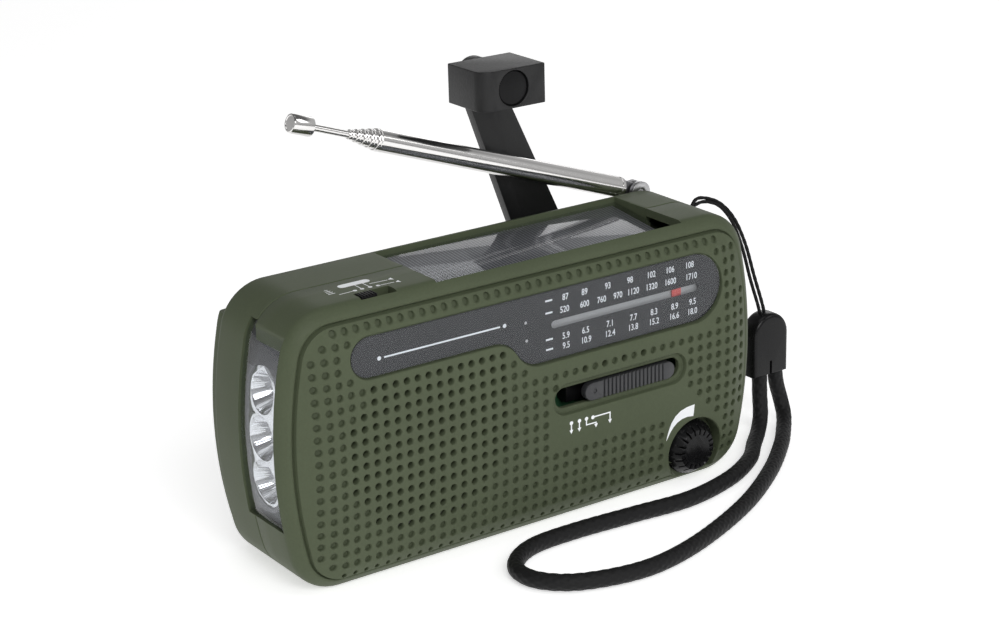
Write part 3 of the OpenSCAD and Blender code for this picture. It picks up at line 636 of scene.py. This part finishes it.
def plate(edge, holes, height, fill=()):
    """Triangles of the region inside edge and outside holes, raised to height(x, z).
    Returns vertices, faces and, for the edge and each hole, the vertex numbers of its loop."""
    pts, edges, loops = [], [], []
    for loop in [edge] + holes:
        s = len(pts)
        pts += loop
        n = len(loop)
        edges += [(s + k, s + (k + 1) % n) for k in range(n)]
        loops.append(list(range(s, s + n)))
    pts += fill
    v, _, f, vo, _, _ = delaunay_2d_cdt([Vector(p) for p in pts], edges, [], 0, 1e-5)
    new = {}
    for k, orig in enumerate(vo):
        for o in orig:
            new[o] = k
    loops = [[new[o] for o in l] for l in loops]
    boxes = []
    for h in holes:
        xs, zs = [p[0] for p in h], [p[1] for p in h]
        boxes.append((min(xs), max(xs), min(zs), max(zs), h))
    cells = {}
    for b in boxes:
        for a in range(int(b[0] // CELL), int(b[1] // CELL) + 1):
            for c in range(int(b[2] // CELL), int(b[3] // CELL) + 1):
                cells.setdefault((a, c), []).append(b)
    keep = []
    for t in f:
        cx, cz = sum(v[k].x for k in t) / len(t), sum(v[k].y for k in t) / len(t)
        if not inside((cx, cz), edge):
            continue
        near = cells.get((int(cx // CELL), int(cz // CELL)), ())
        if not any(b[0] < cx < b[1] and b[2] < cz < b[3] and inside((cx, cz), b[4]) for b in near):
            keep.append(tuple(t))
    return [(p.x, height(p.x, p.y), p.y) for p in v], keep, loops


class Build:
    """Collects vertices and faces."""
    def __init__(self):
        self.v, self.f = [], []

    def add(self, verts, faces):
        s = len(self.v)
        self.v += verts
        self.f += [tuple(k + s for k in t) for t in faces]
        return s

    def loop(self, pts):
        s = len(self.v)
        self.v += pts
        return list(range(s, s + len(pts)))

    def band(self, a, b):
        n = len(a)
        self.f += [(a[k], a[(k + 1) % n], b[(k + 1) % n], b[k]) for k in range(n)]

    def cap(self, a, centre):
        c = len(self.v)
        self.v.append(centre)
        n = len(a)
        self.f += [(a[k], a[(k + 1) % n], c) for k in range(n)]


BACK_Y = -15.8                # back of the plate that carries the speaker holes
RIM_IN, EDGE_Y = 4.15, -15.35  # where the dome ends, and how far forward it is there
KNOB = (51.7, 10.2)           # centre of the volume knob's well
KNOB_FLOOR = -13.2            # floor of the volume knob's well
HIDDEN_Y, LOW_Z = -12.0, 1.2  # where points that pass the rim are put, out of sight
SLOT = (7.9, 43.4, 35.7)      # the band slider's slot: its two centres and its height
# the band: from the groove over the rim, along the side to the parting line, and back inside
rim = [(RIM_IN, EDGE_Y), (4.1, -14.0), (4.0, -13.82), (3.9, -13.82), (3.75, -14.05), (3.45, -14.34),
       (3.1, -14.4), (2.7, -14.3), (2.1, -13.9), (1.4, -13.3), (0.8, -12.65), (0.4, -12.1), (0.1, -11.4),
       (0.0, -10.6), (0.0, -7.0), (0.0, -3.0), (0.0, 2.6), (0.22, 2.95), (1.5, 2.95), (2.2, 2.95),
       (2.2, -11.4), (2.6, -11.6), (8.0, -11.6), (8.0, BACK_Y)]


def lowered(d, y):
    """A ring of the rim: the groove side follows the dome down, the outer side keeps the outline."""
    k = min(1, max(0, (d - 2) / 2.15)) if y < -13 else 0
    points = [(x, z - lower(z) * k) for x, z in outline(d)]
    if d > 5 or y > KNOB_FLOOR:
        return [(x, y, z) for x, z in points]
    # the rim dies away on both sides of the volume knob's well
    radius, blend = (9.4, 0.01) if d == RIM_IN else (8.75, 1.5)
    out = []
    for x, z in points:
        w = min(1, max(0, (math.hypot(x - KNOB[0], z - KNOB[1]) - radius) / blend))
        out.append((x, y + (-13.15 - y) * (1 - w * w * (3 - 2 * w)), z))
    return out


loops = [lowered(d, y) for d, y in rim]
n0 = len(loops[0])
v, f = loft(loops)
f += [tuple(range(n0 - 1, -1, -1)), tuple(range((len(loops) - 1) * n0, len(loops) * n0))]
nf = len(f)
band = add_mesh("band", v, f, smooth=0)
mark = [bpy.data.materials.new("m%d" % k) for k in range(3)]
for m in mark:
    band.data.materials.append(m)
for p in band.data.polygons:
    p.material_index = 0 if p.index < nf - 2 else p.index - (nf - 2) + 1
clean(band)
WELL = (-26.9, -12.2, 51.0, 16.8)
boolean(band, [box_ob("c1", (WELL[0], WELL[1], 67.2), (WELL[2], 30, 90)),
               box_ob("c2", (-48.6, -12.1, 69.0), (-38.4, -8.0, 90)),
               box_ob("c3", (-90, -11.2, 18.0), (-70, 20, 69.0))])
bm = bmesh.new()
bm.from_mesh(band.data)
sel = [f for f in bm.faces if f.material_index in (1, 2)]
bmesh.ops.delete(bm, geom=sel, context="FACES")
bm.to_mesh(band.data)
bm.free()

B = Build()
holes, kinds = [], []
for j in range(-9, 12):
    for i in range(-7, 36):
        if has_hole(i, j):
            x, z = hole_at(i, j)
            size = 0.66 if j == 11 else 1
            holes.append(circle(x, z, 1.1 * size))
            kinds.append((x, z, is_through(i, j), size))


def knob_circle(r):
    """A circle round the volume knob's centre."""
    return circle(*KNOB, r, 64)


cuts = [window_loop(-0.25), slot_loop(*SLOT, 4.45), knob_circle(9.3)]
fill = []
for a in range(-46, 47):
    for b in range(1, 47):
        x, z = a * 1.6, b * 1.6
        if inset(x, z + lower(z))[0] > 4.9 and not any(inside((x, z), c) for c in cuts) \
                and all(math.hypot(x - h[0], z - h[1]) > 1.35 for h in kinds if abs(x - h[0]) < 2):
            fill.append((x, z))
edge = [(x, z - lower(z)) for x, z in outline(RIM_IN)]
pv, pf, pl = plate(edge, holes + cuts, dome, fill)
s = B.add(pv, pf)
front = [[k + s for k in l] for l in pl]
for k in front[0]:
    B.v[k] = (B.v[k][0], EDGE_Y, B.v[k][2])
for k in front[-1]:
    x, y, z = B.v[k]
    if inset(x, z + lower(z))[0] < RIM_IN + 0.02:
        B.v[k] = (x, HIDDEN_Y, z)
back_cuts = [window_loop(1.4), slot_loop(*SLOT, 2.75), knob_circle(10.4)]
through = [h for h in kinds if h[2]]
narrow = [circle(x, z, 0.85) for x, z, _, _ in through]
bv, bf, bl = plate([(x, z) for x, _, z in loops[-1]], narrow + back_cuts, lambda x, z: BACK_Y)
s = B.add(bv, [t[::-1] for t in bf])
back = [[k + s for k in l] for l in bl]
for k in back[-1]:
    x, y, z = B.v[k]
    if inset(x, z)[0] < 7.9:
        B.v[k] = (x, -11.8, max(z, LOW_Z))
ti = 0
for k, (x, z, thr, size) in enumerate(kinds):
    top = front[1 + k]
    r1 = B.loop([(px, dome(px, pz) + 0.10, pz) for px, pz in circle(x, z, 0.98 * size)])
    r2 = B.loop([(px, dome(px, pz) + 0.32, pz) for px, pz in circle(x, z, 0.86 * size)])
    B.band(top, r1)
    B.band(r1, r2)
    if thr:
        B.band(r2, back[1 + ti])
        ti += 1
    else:
        r3 = B.loop([(px, dome(px, pz) + 0.95, pz) for px, pz in circle(x, z, 0.8 * size)])
        B.band(r2, r3)
        B.cap(r3, (x, dome(x, z) + 1.15, z))
nh = len(kinds)


def recess(top, shapes, last):
    """Walls down through a list of (outline, y), ending at the loop last or closed."""
    prev = top
    for loop, y in shapes:
        cur = B.loop([(px, y if y is not None else dome(px, pz) + 0.2, pz) for px, pz in loop])
        for k in cur:
            px, py, pz = B.v[k]
            if py < KNOB_FLOOR and inset(px, pz + lower(pz))[0] < RIM_IN + 0.02:
                py = HIDDEN_Y
            B.v[k] = (px, py, max(pz, LOW_Z))
        B.band(prev, cur)
        prev = cur
    if last:
        B.band(prev, last)
    return prev


nb = len(through)
recess(front[1 + nh], [(window_loop(-0.08), None), (window_loop(0.0), -17.0), (window_loop(0.0), -16.9),
                       (window_loop(1.4), -16.9)], back[1 + nb])
recess(front[2 + nh], [(slot_loop(*SLOT, r), y) for r, y in
                       ((4.3, None), (4.15, -17.35), (4.0, -17.2), (2.95, -17.2), (2.75, -17.0))],
       back[2 + nb])
recess(front[3 + nh], [(knob_circle(r), y) for r, y in
                       ((9.08, None), (9.0, -16.6), (9.0, -13.4), (8.8, KNOB_FLOOR), (2.2, KNOB_FLOOR),
                        (2.2, -11.6), (10.4, -11.6))], back[3 + nb])
face = add_mesh("face", B.v, B.f, GREEN, 35)
paint(band, GREEN)
shell = join("front_shell_moulding", [band, face])
clean(shell, 2e-6)
shade(shell, 33)
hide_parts("front_shell")
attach(shell, "case")

# ---------------------------------------------------------------- rear shell
def rod(name, a, b, r, n=48):
    """A plain cylinder between two points."""
    a, b = Vector(a), Vector(b)
    return turned(name, a, b - a, [(0, r), ((b - a).length, r)], n)


def ycyl(x, z, r, y0, y1, n=64):
    return rod("c", (x, y0, z), (x, y1, z), r, n)


def lofted(name, shape):
    """A solid of outline rings, each drawn in by d at depth y."""
    v, f = loft([outline(d, y) for d, y in shape], (True, True))
    ob = add_mesh(name, v, f, smooth=0)
    clean(ob, 1e-7)
    return ob


def round_edges(ob, test, width, segments=2, angle=30):
    """Rounds the sharp edges for which test(a, b) holds, a and b being their ends in millimetres."""
    bm = bmesh.new()
    bm.from_mesh(ob.data)
    bmesh.ops.dissolve_degenerate(bm, dist=1e-6, edges=bm.edges)
    edges = [e for e in bm.edges if len(e.link_faces) == 2 and e.calc_face_angle(0) > rad(angle)
             and test(e.verts[0].co / MM, e.verts[1].co / MM)]
    if edges:
        bmesh.ops.bevel(bm, geom=edges, offset=width * MM, segments=segments, affect="EDGES", profile=0.6,
                        clamp_overlap=True)
    bm.to_mesh(ob.data)
    bm.free()


# screw posts, posts of the gear plate, crank hub and idler, as (x, z)
POSTS = ((-66, 9.5), (-4, 8.4), (66, 9.5), (-60, 60), (65, 62))
PLATE_POSTS = ((9, 60), (43, 13), (9, 13))
HUB = (42.7, 42.4)
IDLER = (HUB[0] + 24.05 * cos(rad(200)), HUB[1] + 24.05 * sin(rad(200)))
rear = lofted("rear", [(0.22, 3.05), (0.0, 3.3), (0.0, 10.0), (0.0, 17.2), (0.12, 17.9), (0.45, 18.5),
                       (0.95, 18.88), (1.6, 19.0)])
deck = lofted("deck", [(2.3, 18.0), (2.2, 22.9), (2.32, 23.6), (2.7, 24.15), (3.3, 24.45), (4.0, 24.5)])
boolean(deck, [box_ob("c", (-90, 10, 65.5), (90, 40, 90))])
round_edges(deck, lambda a, b: abs(a.z - 65.5) < 0.01 and abs(b.z - 65.5) < 0.01 and min(a.y, b.y) > 20,
            0.7, 3)
boolean(rear, [deck], "UNION")
cavity = lofted("cav", [(2.2, 1.0), (2.2, 16.8)])
deep = lofted("deep", [(5.0, 4.0), (5.0, 22.5)])
boolean(deep, [box_ob("c", (-90, 10, 63.5), (90, 40, 90))])
boolean(rear, [cavity, deep])
adds = [box_ob("a", (WELL[0] - 1.5, 3.05, 65.6), (WELL[2] + 1.5, 18.0, 72.6)),
        ycyl(-32.3, 42.4, 13.6, 8.6, 23.6), ycyl(*HUB, 7, 17.4, 24.1), ycyl(*IDLER, 3.2, 16.6, 23.6)]
corner = lofted("corner", [(0.5, 8.0), (0.5, 17.6)])
boolean(corner, [box_ob("c", (69, 0, 57), (90, 30, 67))], "INTERSECT")
adds.append(corner)
adds += [ycyl(x, z, 3.1, 3.2, 23.6, 32) for x, z in POSTS]
adds += [ycyl(x, z, 2.6, 10.6, 23.6, 32) for x, z in PLATE_POSTS]
boolean(rear, adds, "UNION")
cuts = [box_ob("c", (WELL[0], -1, 67.2), (WELL[2], WELL[3], 90)), ycyl(-32.3, 42.4, 12, 10.2, 30, 96),
        ycyl(*HUB, 4.05, 10, 30), ycyl(*IDLER, 1.5, 16, 21.5, 32),
        box_ob("c", (-90, -11.2, 18), (-66, 6, 69)), box_ob("c", (-60.5, 3.5, 3.4), (-11.2, 22.6, 26.9)),
        box_ob("c", (-60.8, 20, 4.4), (-9.8, 30, 26.6)), ycyl(59.5, 42, 18, 4.1, 9.3, 96),
        rod("c", (60, 11, 17), (80, 11, 17), 3.02), box_ob("c", (60, 7.2, 21), (80, 15.2, 25.2)),
        box_ob("c", (70.5, 11, 63.6), (80, 15.4, 66)), box_ob("c", (70.5, 11, 58.4), (80, 15.4, 61.4)),
        box_ob("c", (70.5, 11, 58.4), (71.4, 15.4, 66))]
cuts += [ycyl(x, z, 1.6, 2, 30, 24) for x, z in POSTS] + [ycyl(x, z, 2.8, 21.1, 30, 40) for x, z in POSTS]
cuts += [ycyl(x, 67.8, 0.9, 12, 20, 20) for x in (58.4, 65.6)]
cuts += [ycyl(x, z, 0.9, 9, 18, 20) for x, z in PLATE_POSTS]
boolean(rear, cuts)
round_edges(rear, lambda a, b: min(a.z, b.z) > 73.9 and abs(a.z - b.z) < 0.01 and min(a.y, b.y) > 3.3, 0.3)
round_edges(rear, lambda a, b: min(a.y, b.y) > 24.4 and abs(inset(a.x, a.z)[0] - 4) > 0.3, 0.3)
paint(rear, GREEN)
clean(rear, 1e-6)
shade(rear, 33)
rear.name = "rear_shell_moulding"
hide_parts("rear_shell")
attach(rear, "case")


# ---------------------------------------------------------------- dial
def thin(name, flat, holes, y0, y1, mat, node):
    """A flat piece between two depths with the given outline and holes."""
    v, f, l = plate(flat, holes, lambda x, z: 0)
    n = len(v)
    verts = [(x, y0, z) for x, _, z in v] + [(x, y1, z) for x, _, z in v]
    faces = f + [tuple(k + n for k in t[::-1]) for t in f]
    for loop in l:
        m = len(loop)
        faces += [(loop[k], loop[(k + 1) % m], loop[(k + 1) % m] + n, loop[k] + n) for k in range(m)]
    ob = add_mesh(name, verts, faces, mat, 30)
    clean(ob, 1e-8)
    shade(ob, 30)
    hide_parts(node)
    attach(ob, "case")


wl = [[(x, y, z) for x, z in window_loop(d)] for d, y in
      ((0.55, -17.1), (0.25, -17.1), (0.25, -17.38), (0.33, -17.46), (0.5, -17.5))]
v, f = loft(wl, (True, True))
window = add_mesh("dial_glass", v, f, CLEAR, 30)
clean(window, 1e-8)
shade(window, 30)
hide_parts("dial_window")
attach(window, "case")
thin("dial_printed_film", window_loop(0.25), [slot_loop(5.45, 51.85, 56.5, 1.05)], -17.06, -16.9, FILM,
     "dial_film")
thin("dial_back_plate", window_loop(0.5), [slot_loop(4, 54.2, 52.3, 0.8)], -15.78, -14.98, TRACK,
     "dial_plate")


def digits(text, x, z, height, y):
    """A number standing in the plane y, centred on x and z, from Blender's own font."""
    cu = bpy.data.curves.new("t", "FONT")
    cu.body = text
    cu.resolution_u = 3
    cu.offset = 0.012
    tmp = bpy.data.objects.new("t", cu)
    bpy.context.scene.collection.objects.link(tmp)
    me = bpy.data.meshes.new_from_object(tmp.evaluated_get(bpy.context.evaluated_depsgraph_get()))
    bpy.data.objects.remove(tmp)
    xs, ys = [q.co.x for q in me.vertices], [q.co.y for q in me.vertices]
    k = height / (max(ys) - min(ys))
    cx, cy = (max(xs) + min(xs)) / 2, (max(ys) + min(ys)) / 2
    n = len(me.vertices)
    verts = [((q.co.x - cx) * k * 0.82 + x, depth, (q.co.y - cy) * k + z)
             for depth in (y, y + 0.02) for q in me.vertices]
    faces = [tuple(p.vertices) for p in me.polygons]
    edges = {}
    for t in faces:
        for i in range(len(t)):
            e = (t[i], t[(i + 1) % len(t)])
            edges[e] = edges.get(e, 0) + 1
    rimf = [(b_, a_, a_ + n, b_ + n) for (a_, b_) in edges if (b_, a_) not in edges]
    bpy.data.meshes.remove(me)
    return add_mesh("n", verts, faces + [tuple(i + n for i in t[::-1]) for t in faces] + rimf, INK, 0)


ROWS = ((63.3, ((87, 9), (89, 15.1), (93, 22.6), (98, 29.9), (102, 37.1), (106, 43.4), (108, 50))),
        (60.0, ((520, 8.7), (600, 15.1), (760, 20.6), (970, 25.9), (1120, 31.1), (1320, 37.2), (1600, 43.5),
                (1710, 50.6))),
        (52.8, ((5.9, 9), (6.5, 15.3), (7.1, 23.1), (7.7, 31), (8.3, 37.8), (8.9, 44.8), (9.5, 50.9))),
        (50.1, ((9.5, 9), (10.9, 15.6), (12.4, 23.4), (13.8, 31), (15.2, 38), (16.6, 44.8), (18.0, 51))))
FILM_Y = -17.085
marks = [digits(str(t), x, z, 1.75, FILM_Y) for z, row in ROWS for t, x in row]


def decal(strips, place, mat=INK):
    """Thin printed shapes: a strip is a list of pairs of points across it; place(u, v, lift) puts them."""
    verts, faces = [], []
    for s in strips:
        n, o = len(s), len(verts)
        for lift in (0.03, -0.06):
            for a, c in s:
                verts += [place(a[0], a[1], lift), place(c[0], c[1], lift)]
        top, bot = o, o + 2 * n
        for i in range(n - 1):
            q = (2 * i, 2 * i + 1, 2 * i + 3, 2 * i + 2)
            faces += [tuple(top + k for k in q), tuple(bot + k for k in q[::-1])]
            for k0, k1 in ((2 * i + 2, 2 * i), (2 * i + 1, 2 * i + 3)):
                faces.append((top + k0, top + k1, bot + k1, bot + k0))
        e = 2 * n - 2
        faces += [(top, bot, bot + 1, top + 1), (top + e, top + e + 1, bot + e + 1, bot + e)]
    ob = add_mesh("d", verts, faces, mat, 0)
    clean(ob, 1e-8)
    return ob


def line(x0, z0, x1, z1, w):
    """A straight printed line of width w, as pairs of points across it."""
    dx, dz = x1 - x0, z1 - z0
    n = math.hypot(dx, dz)
    ox, oz = -dz / n * w / 2, dx / n * w / 2
    m = max(2, int(n / 1.5) + 1)
    centres = [(x0 + dx * i / (m - 1), z0 + dz * i / (m - 1)) for i in range(m)]
    return [((x + ox, z + oz), (x - ox, z - oz)) for x, z in centres]


def dot(x, z, r, n=10):
    """A round spot, as pairs of points across it."""
    spans = [(r * cos(pi * i / n), r * sin(pi * i / n)) for i in range(n + 1)]
    return [((x + u, z + v), (x + u, z - v)) for u, v in spans]


def arrow(x, z, s):
    """A solid arrowhead pointing down with its tip at x, z."""
    return [((x - s * 0.75, z + s * 1.3), (x + s * 0.75, z + s * 1.3)), ((x - 0.02, z), (x + 0.02, z))]


def on_film(x, z, lift):
    return (x, -17.07 - lift * 0.3, z)


bars = [line(-46, 59.6, -11.5, 59.6, 0.45)] + [line(2.6, z, 4.8, z, 0.5) for z, _ in ROWS]
bars += [dot(-47.4, 59.6, 0.55), dot(-10.1, 59.6, 0.55)]
marks.append(decal(bars, on_film))
numbers = join("dial_numbers", marks)
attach(numbers, "case")
lamps = decal([dot(-3.6, 58.9, 0.4), dot(-3.4, 54.0, 0.4)], on_film, TRACK)
lamps.name = "dial_indicator_dots"
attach(lamps, "case")
needle = soften("pointer", 0.08, RED)


# ---------------------------------------------------------------- marks on the shell
def on_front(x, z, lift):
    return (x, dome(x, z) - lift, z)


def on_top(x, y, lift):
    return (x, y, 74 + lift)


outer = ((41.35, 15.3), (42.0, 17.8), (42.9, 20.0), (44.2, 21.7), (46.0, 22.9), (48.2, 23.5), (50.8, 23.7))
inner = ((41.5, 15.3), (42.6, 17.3), (43.7, 18.7), (45.0, 19.75), (46.6, 20.4), (48.5, 20.6), (50.5, 20.3))
wedge = list(zip(outer, inner))  # it widens round the volume knob
DOT, PEN, HEAD = 0.55, 0.35, 0.8  # radius of a dot, width of a line, size of an arrowhead
front_marks = decal([wedge, dot(9.3, 28.7, DOT), line(9.3, 28.7, 9.3, 26.6, PEN), arrow(9.3, 25.7, HEAD),
                     dot(11.9, 28.7, DOT), line(11.9, 28.7, 11.9, 26.6, PEN), arrow(11.9, 25.7, HEAD),
                     dot(14.2, 28.7, DOT), line(14.2, 28.7, 14.2, 26.95, PEN),
                     line(14.05, 26.95, 17.5, 26.95, PEN), line(17.35, 27.1, 17.35, 26.4, PEN),
                     arrow(17.35, 25.5, HEAD), dot(16.3, 28.6, DOT), line(16.3, 28.65, 22.1, 28.65, PEN),
                     line(21.95, 28.8, 21.95, 26.6, PEN), arrow(21.95, 25.6, HEAD)], on_front)
front_marks.name = "front_printed_marks"
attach(front_marks, "case")


def tri(x, y, s):
    """A solid triangle that widens to the right."""
    return [((x - s, y - 0.05), (x - s, y + 0.05)), ((x + s * 0.4, y - s), (x + s * 0.4, y + s))]


def pill(x0, x1, y, r):
    """A bar with round ends."""
    def end(x, side, angles):
        spans = [(side * r * cos(rad(a)), r * sin(rad(a))) for a in angles]
        return [((x + u, y - v), (x + u, y + v)) for u, v in spans]
    return end(x0, -1, range(0, 91, 15)) + end(x1, 1, range(90, -1, -15))


FINE, RUNG = 0.22, 0.25  # widths of the leader lines and of the four steps beside them
top_marks = decal([pill(-47.6, -40.9, -1.3, 1.15), dot(-46.8, -6.1, DOT), dot(-44.7, -6.0, DOT),
                   dot(-42.4, -6.1, DOT), dot(-40.3, -6.4, DOT), line(-46.8, -6.15, -51.4, -6.3, FINE),
                   line(-44.7, -6, -44.7, -2.2, FINE), line(-42.4, -6, -42.4, -2.2, FINE),
                   line(-41.2, -3.9, -36.2, -4.2, FINE), line(-40.3, -6.45, -35.8, -6.7, FINE),
                   tri(-35.0, -4.0, 0.8), tri(-34.6, -6.8, 0.75),
                   line(-52.9, -1.6, -51.9, -1.6, RUNG), line(-53.2, -2.6, -51.7, -2.6, RUNG),
                   line(-53.4, -3.6, -51.6, -3.6, RUNG), line(-53.5, -4.6, -51.6, -4.6, RUNG)], on_top)
top_marks.name = "top_printed_marks"
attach(top_marks, "case")

# ---------------------------------------------------------------- controls
for node, w, mat in (("band_slider", 0.14, SLIDER), ("mode_slider", 0.1, BLACK),
                     ("volume_knob", 0.16, SATIN), ("tuning_wheel", 0.15, BLACK),
                     ("battery_door", 0.3, GREEN), ("charge_socket", 0.12, STEEL),
                     ("earphone_jack", 0.12, BLACK), ("antenna_bracket", 0.15, STEEL),
                     ("antenna_screw", 0.25, STEEL), ("bracket_screws", 0.2, STEEL),
                     ("housing_screws", 0.1, STEEL), ("antenna_knuckle", 0.45, DULL)):
    soften(node, w, mat)

# ---------------------------------------------------------------- solar panel and torch
for node, w, mat in (("solar_panel", 0.12, SOLAR), ("solar_cover", 0.12, CLEAR), ("torch_lens", 0.12, CLEAR),
                     ("torch_bezel", 0.12, BEZEL), ("torch_reflector", 0.12, MIRROR),
                     ("torch_leds", 0.0, LEDGLASS)):
    soften(node, w, mat)
LAMPS = (28.3, 40.3, 52.3)  # heights of the three lamps
chips = join("lamp_chips", [box_ob("k", (-66.6, -2.7, z - 0.7), (-66.2, -1.3, z + 0.7)) for z in LAMPS])
chips.data.materials.append(CHIP)
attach(chips, "case")

# ---------------------------------------------------------------- crank
for node, w, mat in (("crank_hub", 0.35, ARM), ("crank_pin", 0.2, STEEL), ("crank_arm", 0.3, ARM),
                     ("knob_spindle", 0.1, STEEL), ("crank_knob", 0.7, ARM)):
    soften(node, w, mat, 3)
ARM_LENGTH, ARM_LEAN = 75, 22.4
TIP = (HUB[0] - ARM_LENGTH * sin(rad(ARM_LEAN)), HUB[1] + ARM_LENGTH * cos(rad(ARM_LEAN)))
cap = turned("knob_end_cap", (TIP[0], 12.2, TIP[1]), (0, -1, 0),
             [(0, 0), (0, 4.5), (0.45, 4.5), (0.68, 4.38), (0.8, 4.1), (0.8, 0)], 64, BLACK, 30)
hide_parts("knob_cap")
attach(cap, "crank_knob")

# ---------------------------------------------------------------- antenna
# pivot, direction and length of the antenna's outer tube
AP = Vector((62, 22.3, 72.6))
AD = Vector((-cos(rad(19.3)), 0, sin(rad(19.3))))
AL = 84


def closed_turn(name, profile, mat, n=64):
    """A hollow turned piece: the profile of (distance out from the pivot, radius) closes on itself."""
    u = AD.orthogonal().normalized()
    w = AD.cross(u)
    loops = []
    for s, r in profile + profile[:1]:
        c = AP + AD * s
        loops.append([tuple(c + (u * cos(2 * pi * k / n) + w * sin(2 * pi * k / n)) * r) for k in range(n)])
    v, f = loft(loops)
    ob = add_mesh(name, v, f, mat, 28)
    clean(ob, 2e-7)
    shade(ob, 28)
    return ob


# each tube's near and far end, outer and inner radius
TUBES = ((5.3, 5.3 + AL, 3.0, 2.65), (14, 7.3 + AL, 2.6, 2.25), (15, 9.3 + AL, 2.2, 1.85),
         (16, 11.3 + AL, 1.8, 1.45), (17, 13.3 + AL, 1.4, 1.0))
for k, (a, c, r, ri) in enumerate(TUBES):
    prof = [(a, ri), (a, r - 0.12), (a + 0.15, r)]
    if k == 0:
        prof += [(a + 1.0, r), (a + 1.15, r - 0.14), (a + 1.5, r - 0.14), (a + 1.65, r)]
    prof += [(c - 1.1, r), (c - 0.95, r - 0.1), (c - 0.75, r - 0.1), (c - 0.6, r - 0.02),
             (c - 0.22, r - 0.03), (c - 0.06, r - 0.13), (c, r - 0.28), (c, ri)]
    ob = closed_turn("antenna_section_%d" % (k + 1), prof, CHROME)
    if k == 0:
        pits = []
        for s, ang in ((a + 3.2, 62), (a + 5.0, 62), (a + 3.2, 242), (a + 5.0, 242)):
            side = AD.cross(Vector((0, -1, 0)))
            n_ = (Vector((0, -1, 0)) * sin(rad(ang)) - side * cos(rad(ang))).normalized()
            pits.append(turned("c", AP + AD * s + n_ * 2.87, n_,
                               [(0, 0.02), (0.04, 0.3), (0.3, 0.62), (0.5, 0.8)], 20))
        boolean(ob, pits)
        paint(ob, CHROME)
        shade(ob, 28)
    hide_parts("antenna_tube_%d" % (k + 1))
    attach(ob, BODY["antenna_tube_%d" % (k + 1)])
tip = turned("antenna_end", AP, AD,
             [(22.2, 0.5), (22.3, 0.95), (AL + 24.4, 0.95), (AL + 24.6, 1.3), (AL + 24.62, 2.2),
              (AL + 24.8, 2.5), (AL + 25.1, 2.6), (AL + 30.5, 2.6), (AL + 30.85, 2.45),
              (AL + 31.0, 2.2), (AL + 31.0, 1.95), (AL + 30.8, 1.8), (AL + 30.75, 0.0)], 64, CHROME, 28)
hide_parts("antenna_tip")
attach(tip, BODY["antenna_tip"])

# ---------------------------------------------------------------- strap ferrule
def arch(d, y):
    """The ferrule's outline drawn in by d."""
    pts = [(98.7 - d, y, 17.6 + d * 0.4)]
    pts += [(92.3 + (6.4 - d) * cos(pi * k / 28), y, 29.4 + (6.4 - d) * sin(pi * k / 28)) for k in range(29)]
    return pts + [(85.9 + d, y, 17.6 + d * 0.4)]


v, f = loft([arch(d, y) for d, y in
             ((1.3, -2.0), (0.7, -1.92), (0.3, -1.6), (0.08, -1.15), (0, -0.6),
              (0, 2.6), (0.08, 3.15), (0.3, 3.6), (0.7, 3.92), (1.3, 4.0))], (True, True))
ferrule = add_mesh("strap_ferrule_moulding", v, f, None, 0)
clean(ferrule, 1e-7)
boolean(ferrule, [box_ob("c", (91.8, -3, 16), (92.6, 5, 21.8))])
paint(ferrule, SATIN)
shade(ferrule, 35)
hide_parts("strap_ferrule")
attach(ferrule, "case")

# ---------------------------------------------------------------- pieces inside
for names, mat in ((("main_board", "torch_board"), BOARD),
                   (("speaker_frame", "gear_plate", "dynamo_can"), DULL), (("speaker_cone",), PAPER),
                   (("speaker_magnet", "ferrite_rod"), FERRITE), (("tuning_capacitor",), NATURAL),
                   (("volume_pot", "mode_switch", "battery_contacts", "idler_axle"), STEEL),
                   (("band_switch",), BLACK), (("ferrite_coil", "dynamo_coil"), COPPER),
                   (("battery_cells",), SLEEVE), (("drive_gear", "idler_gear"), NATURAL),
                   (("dynamo_rotor",), STEEL)):
    for name in names:
        for slot in frame["nodes"][name].material_slots:
            slot.material = mat
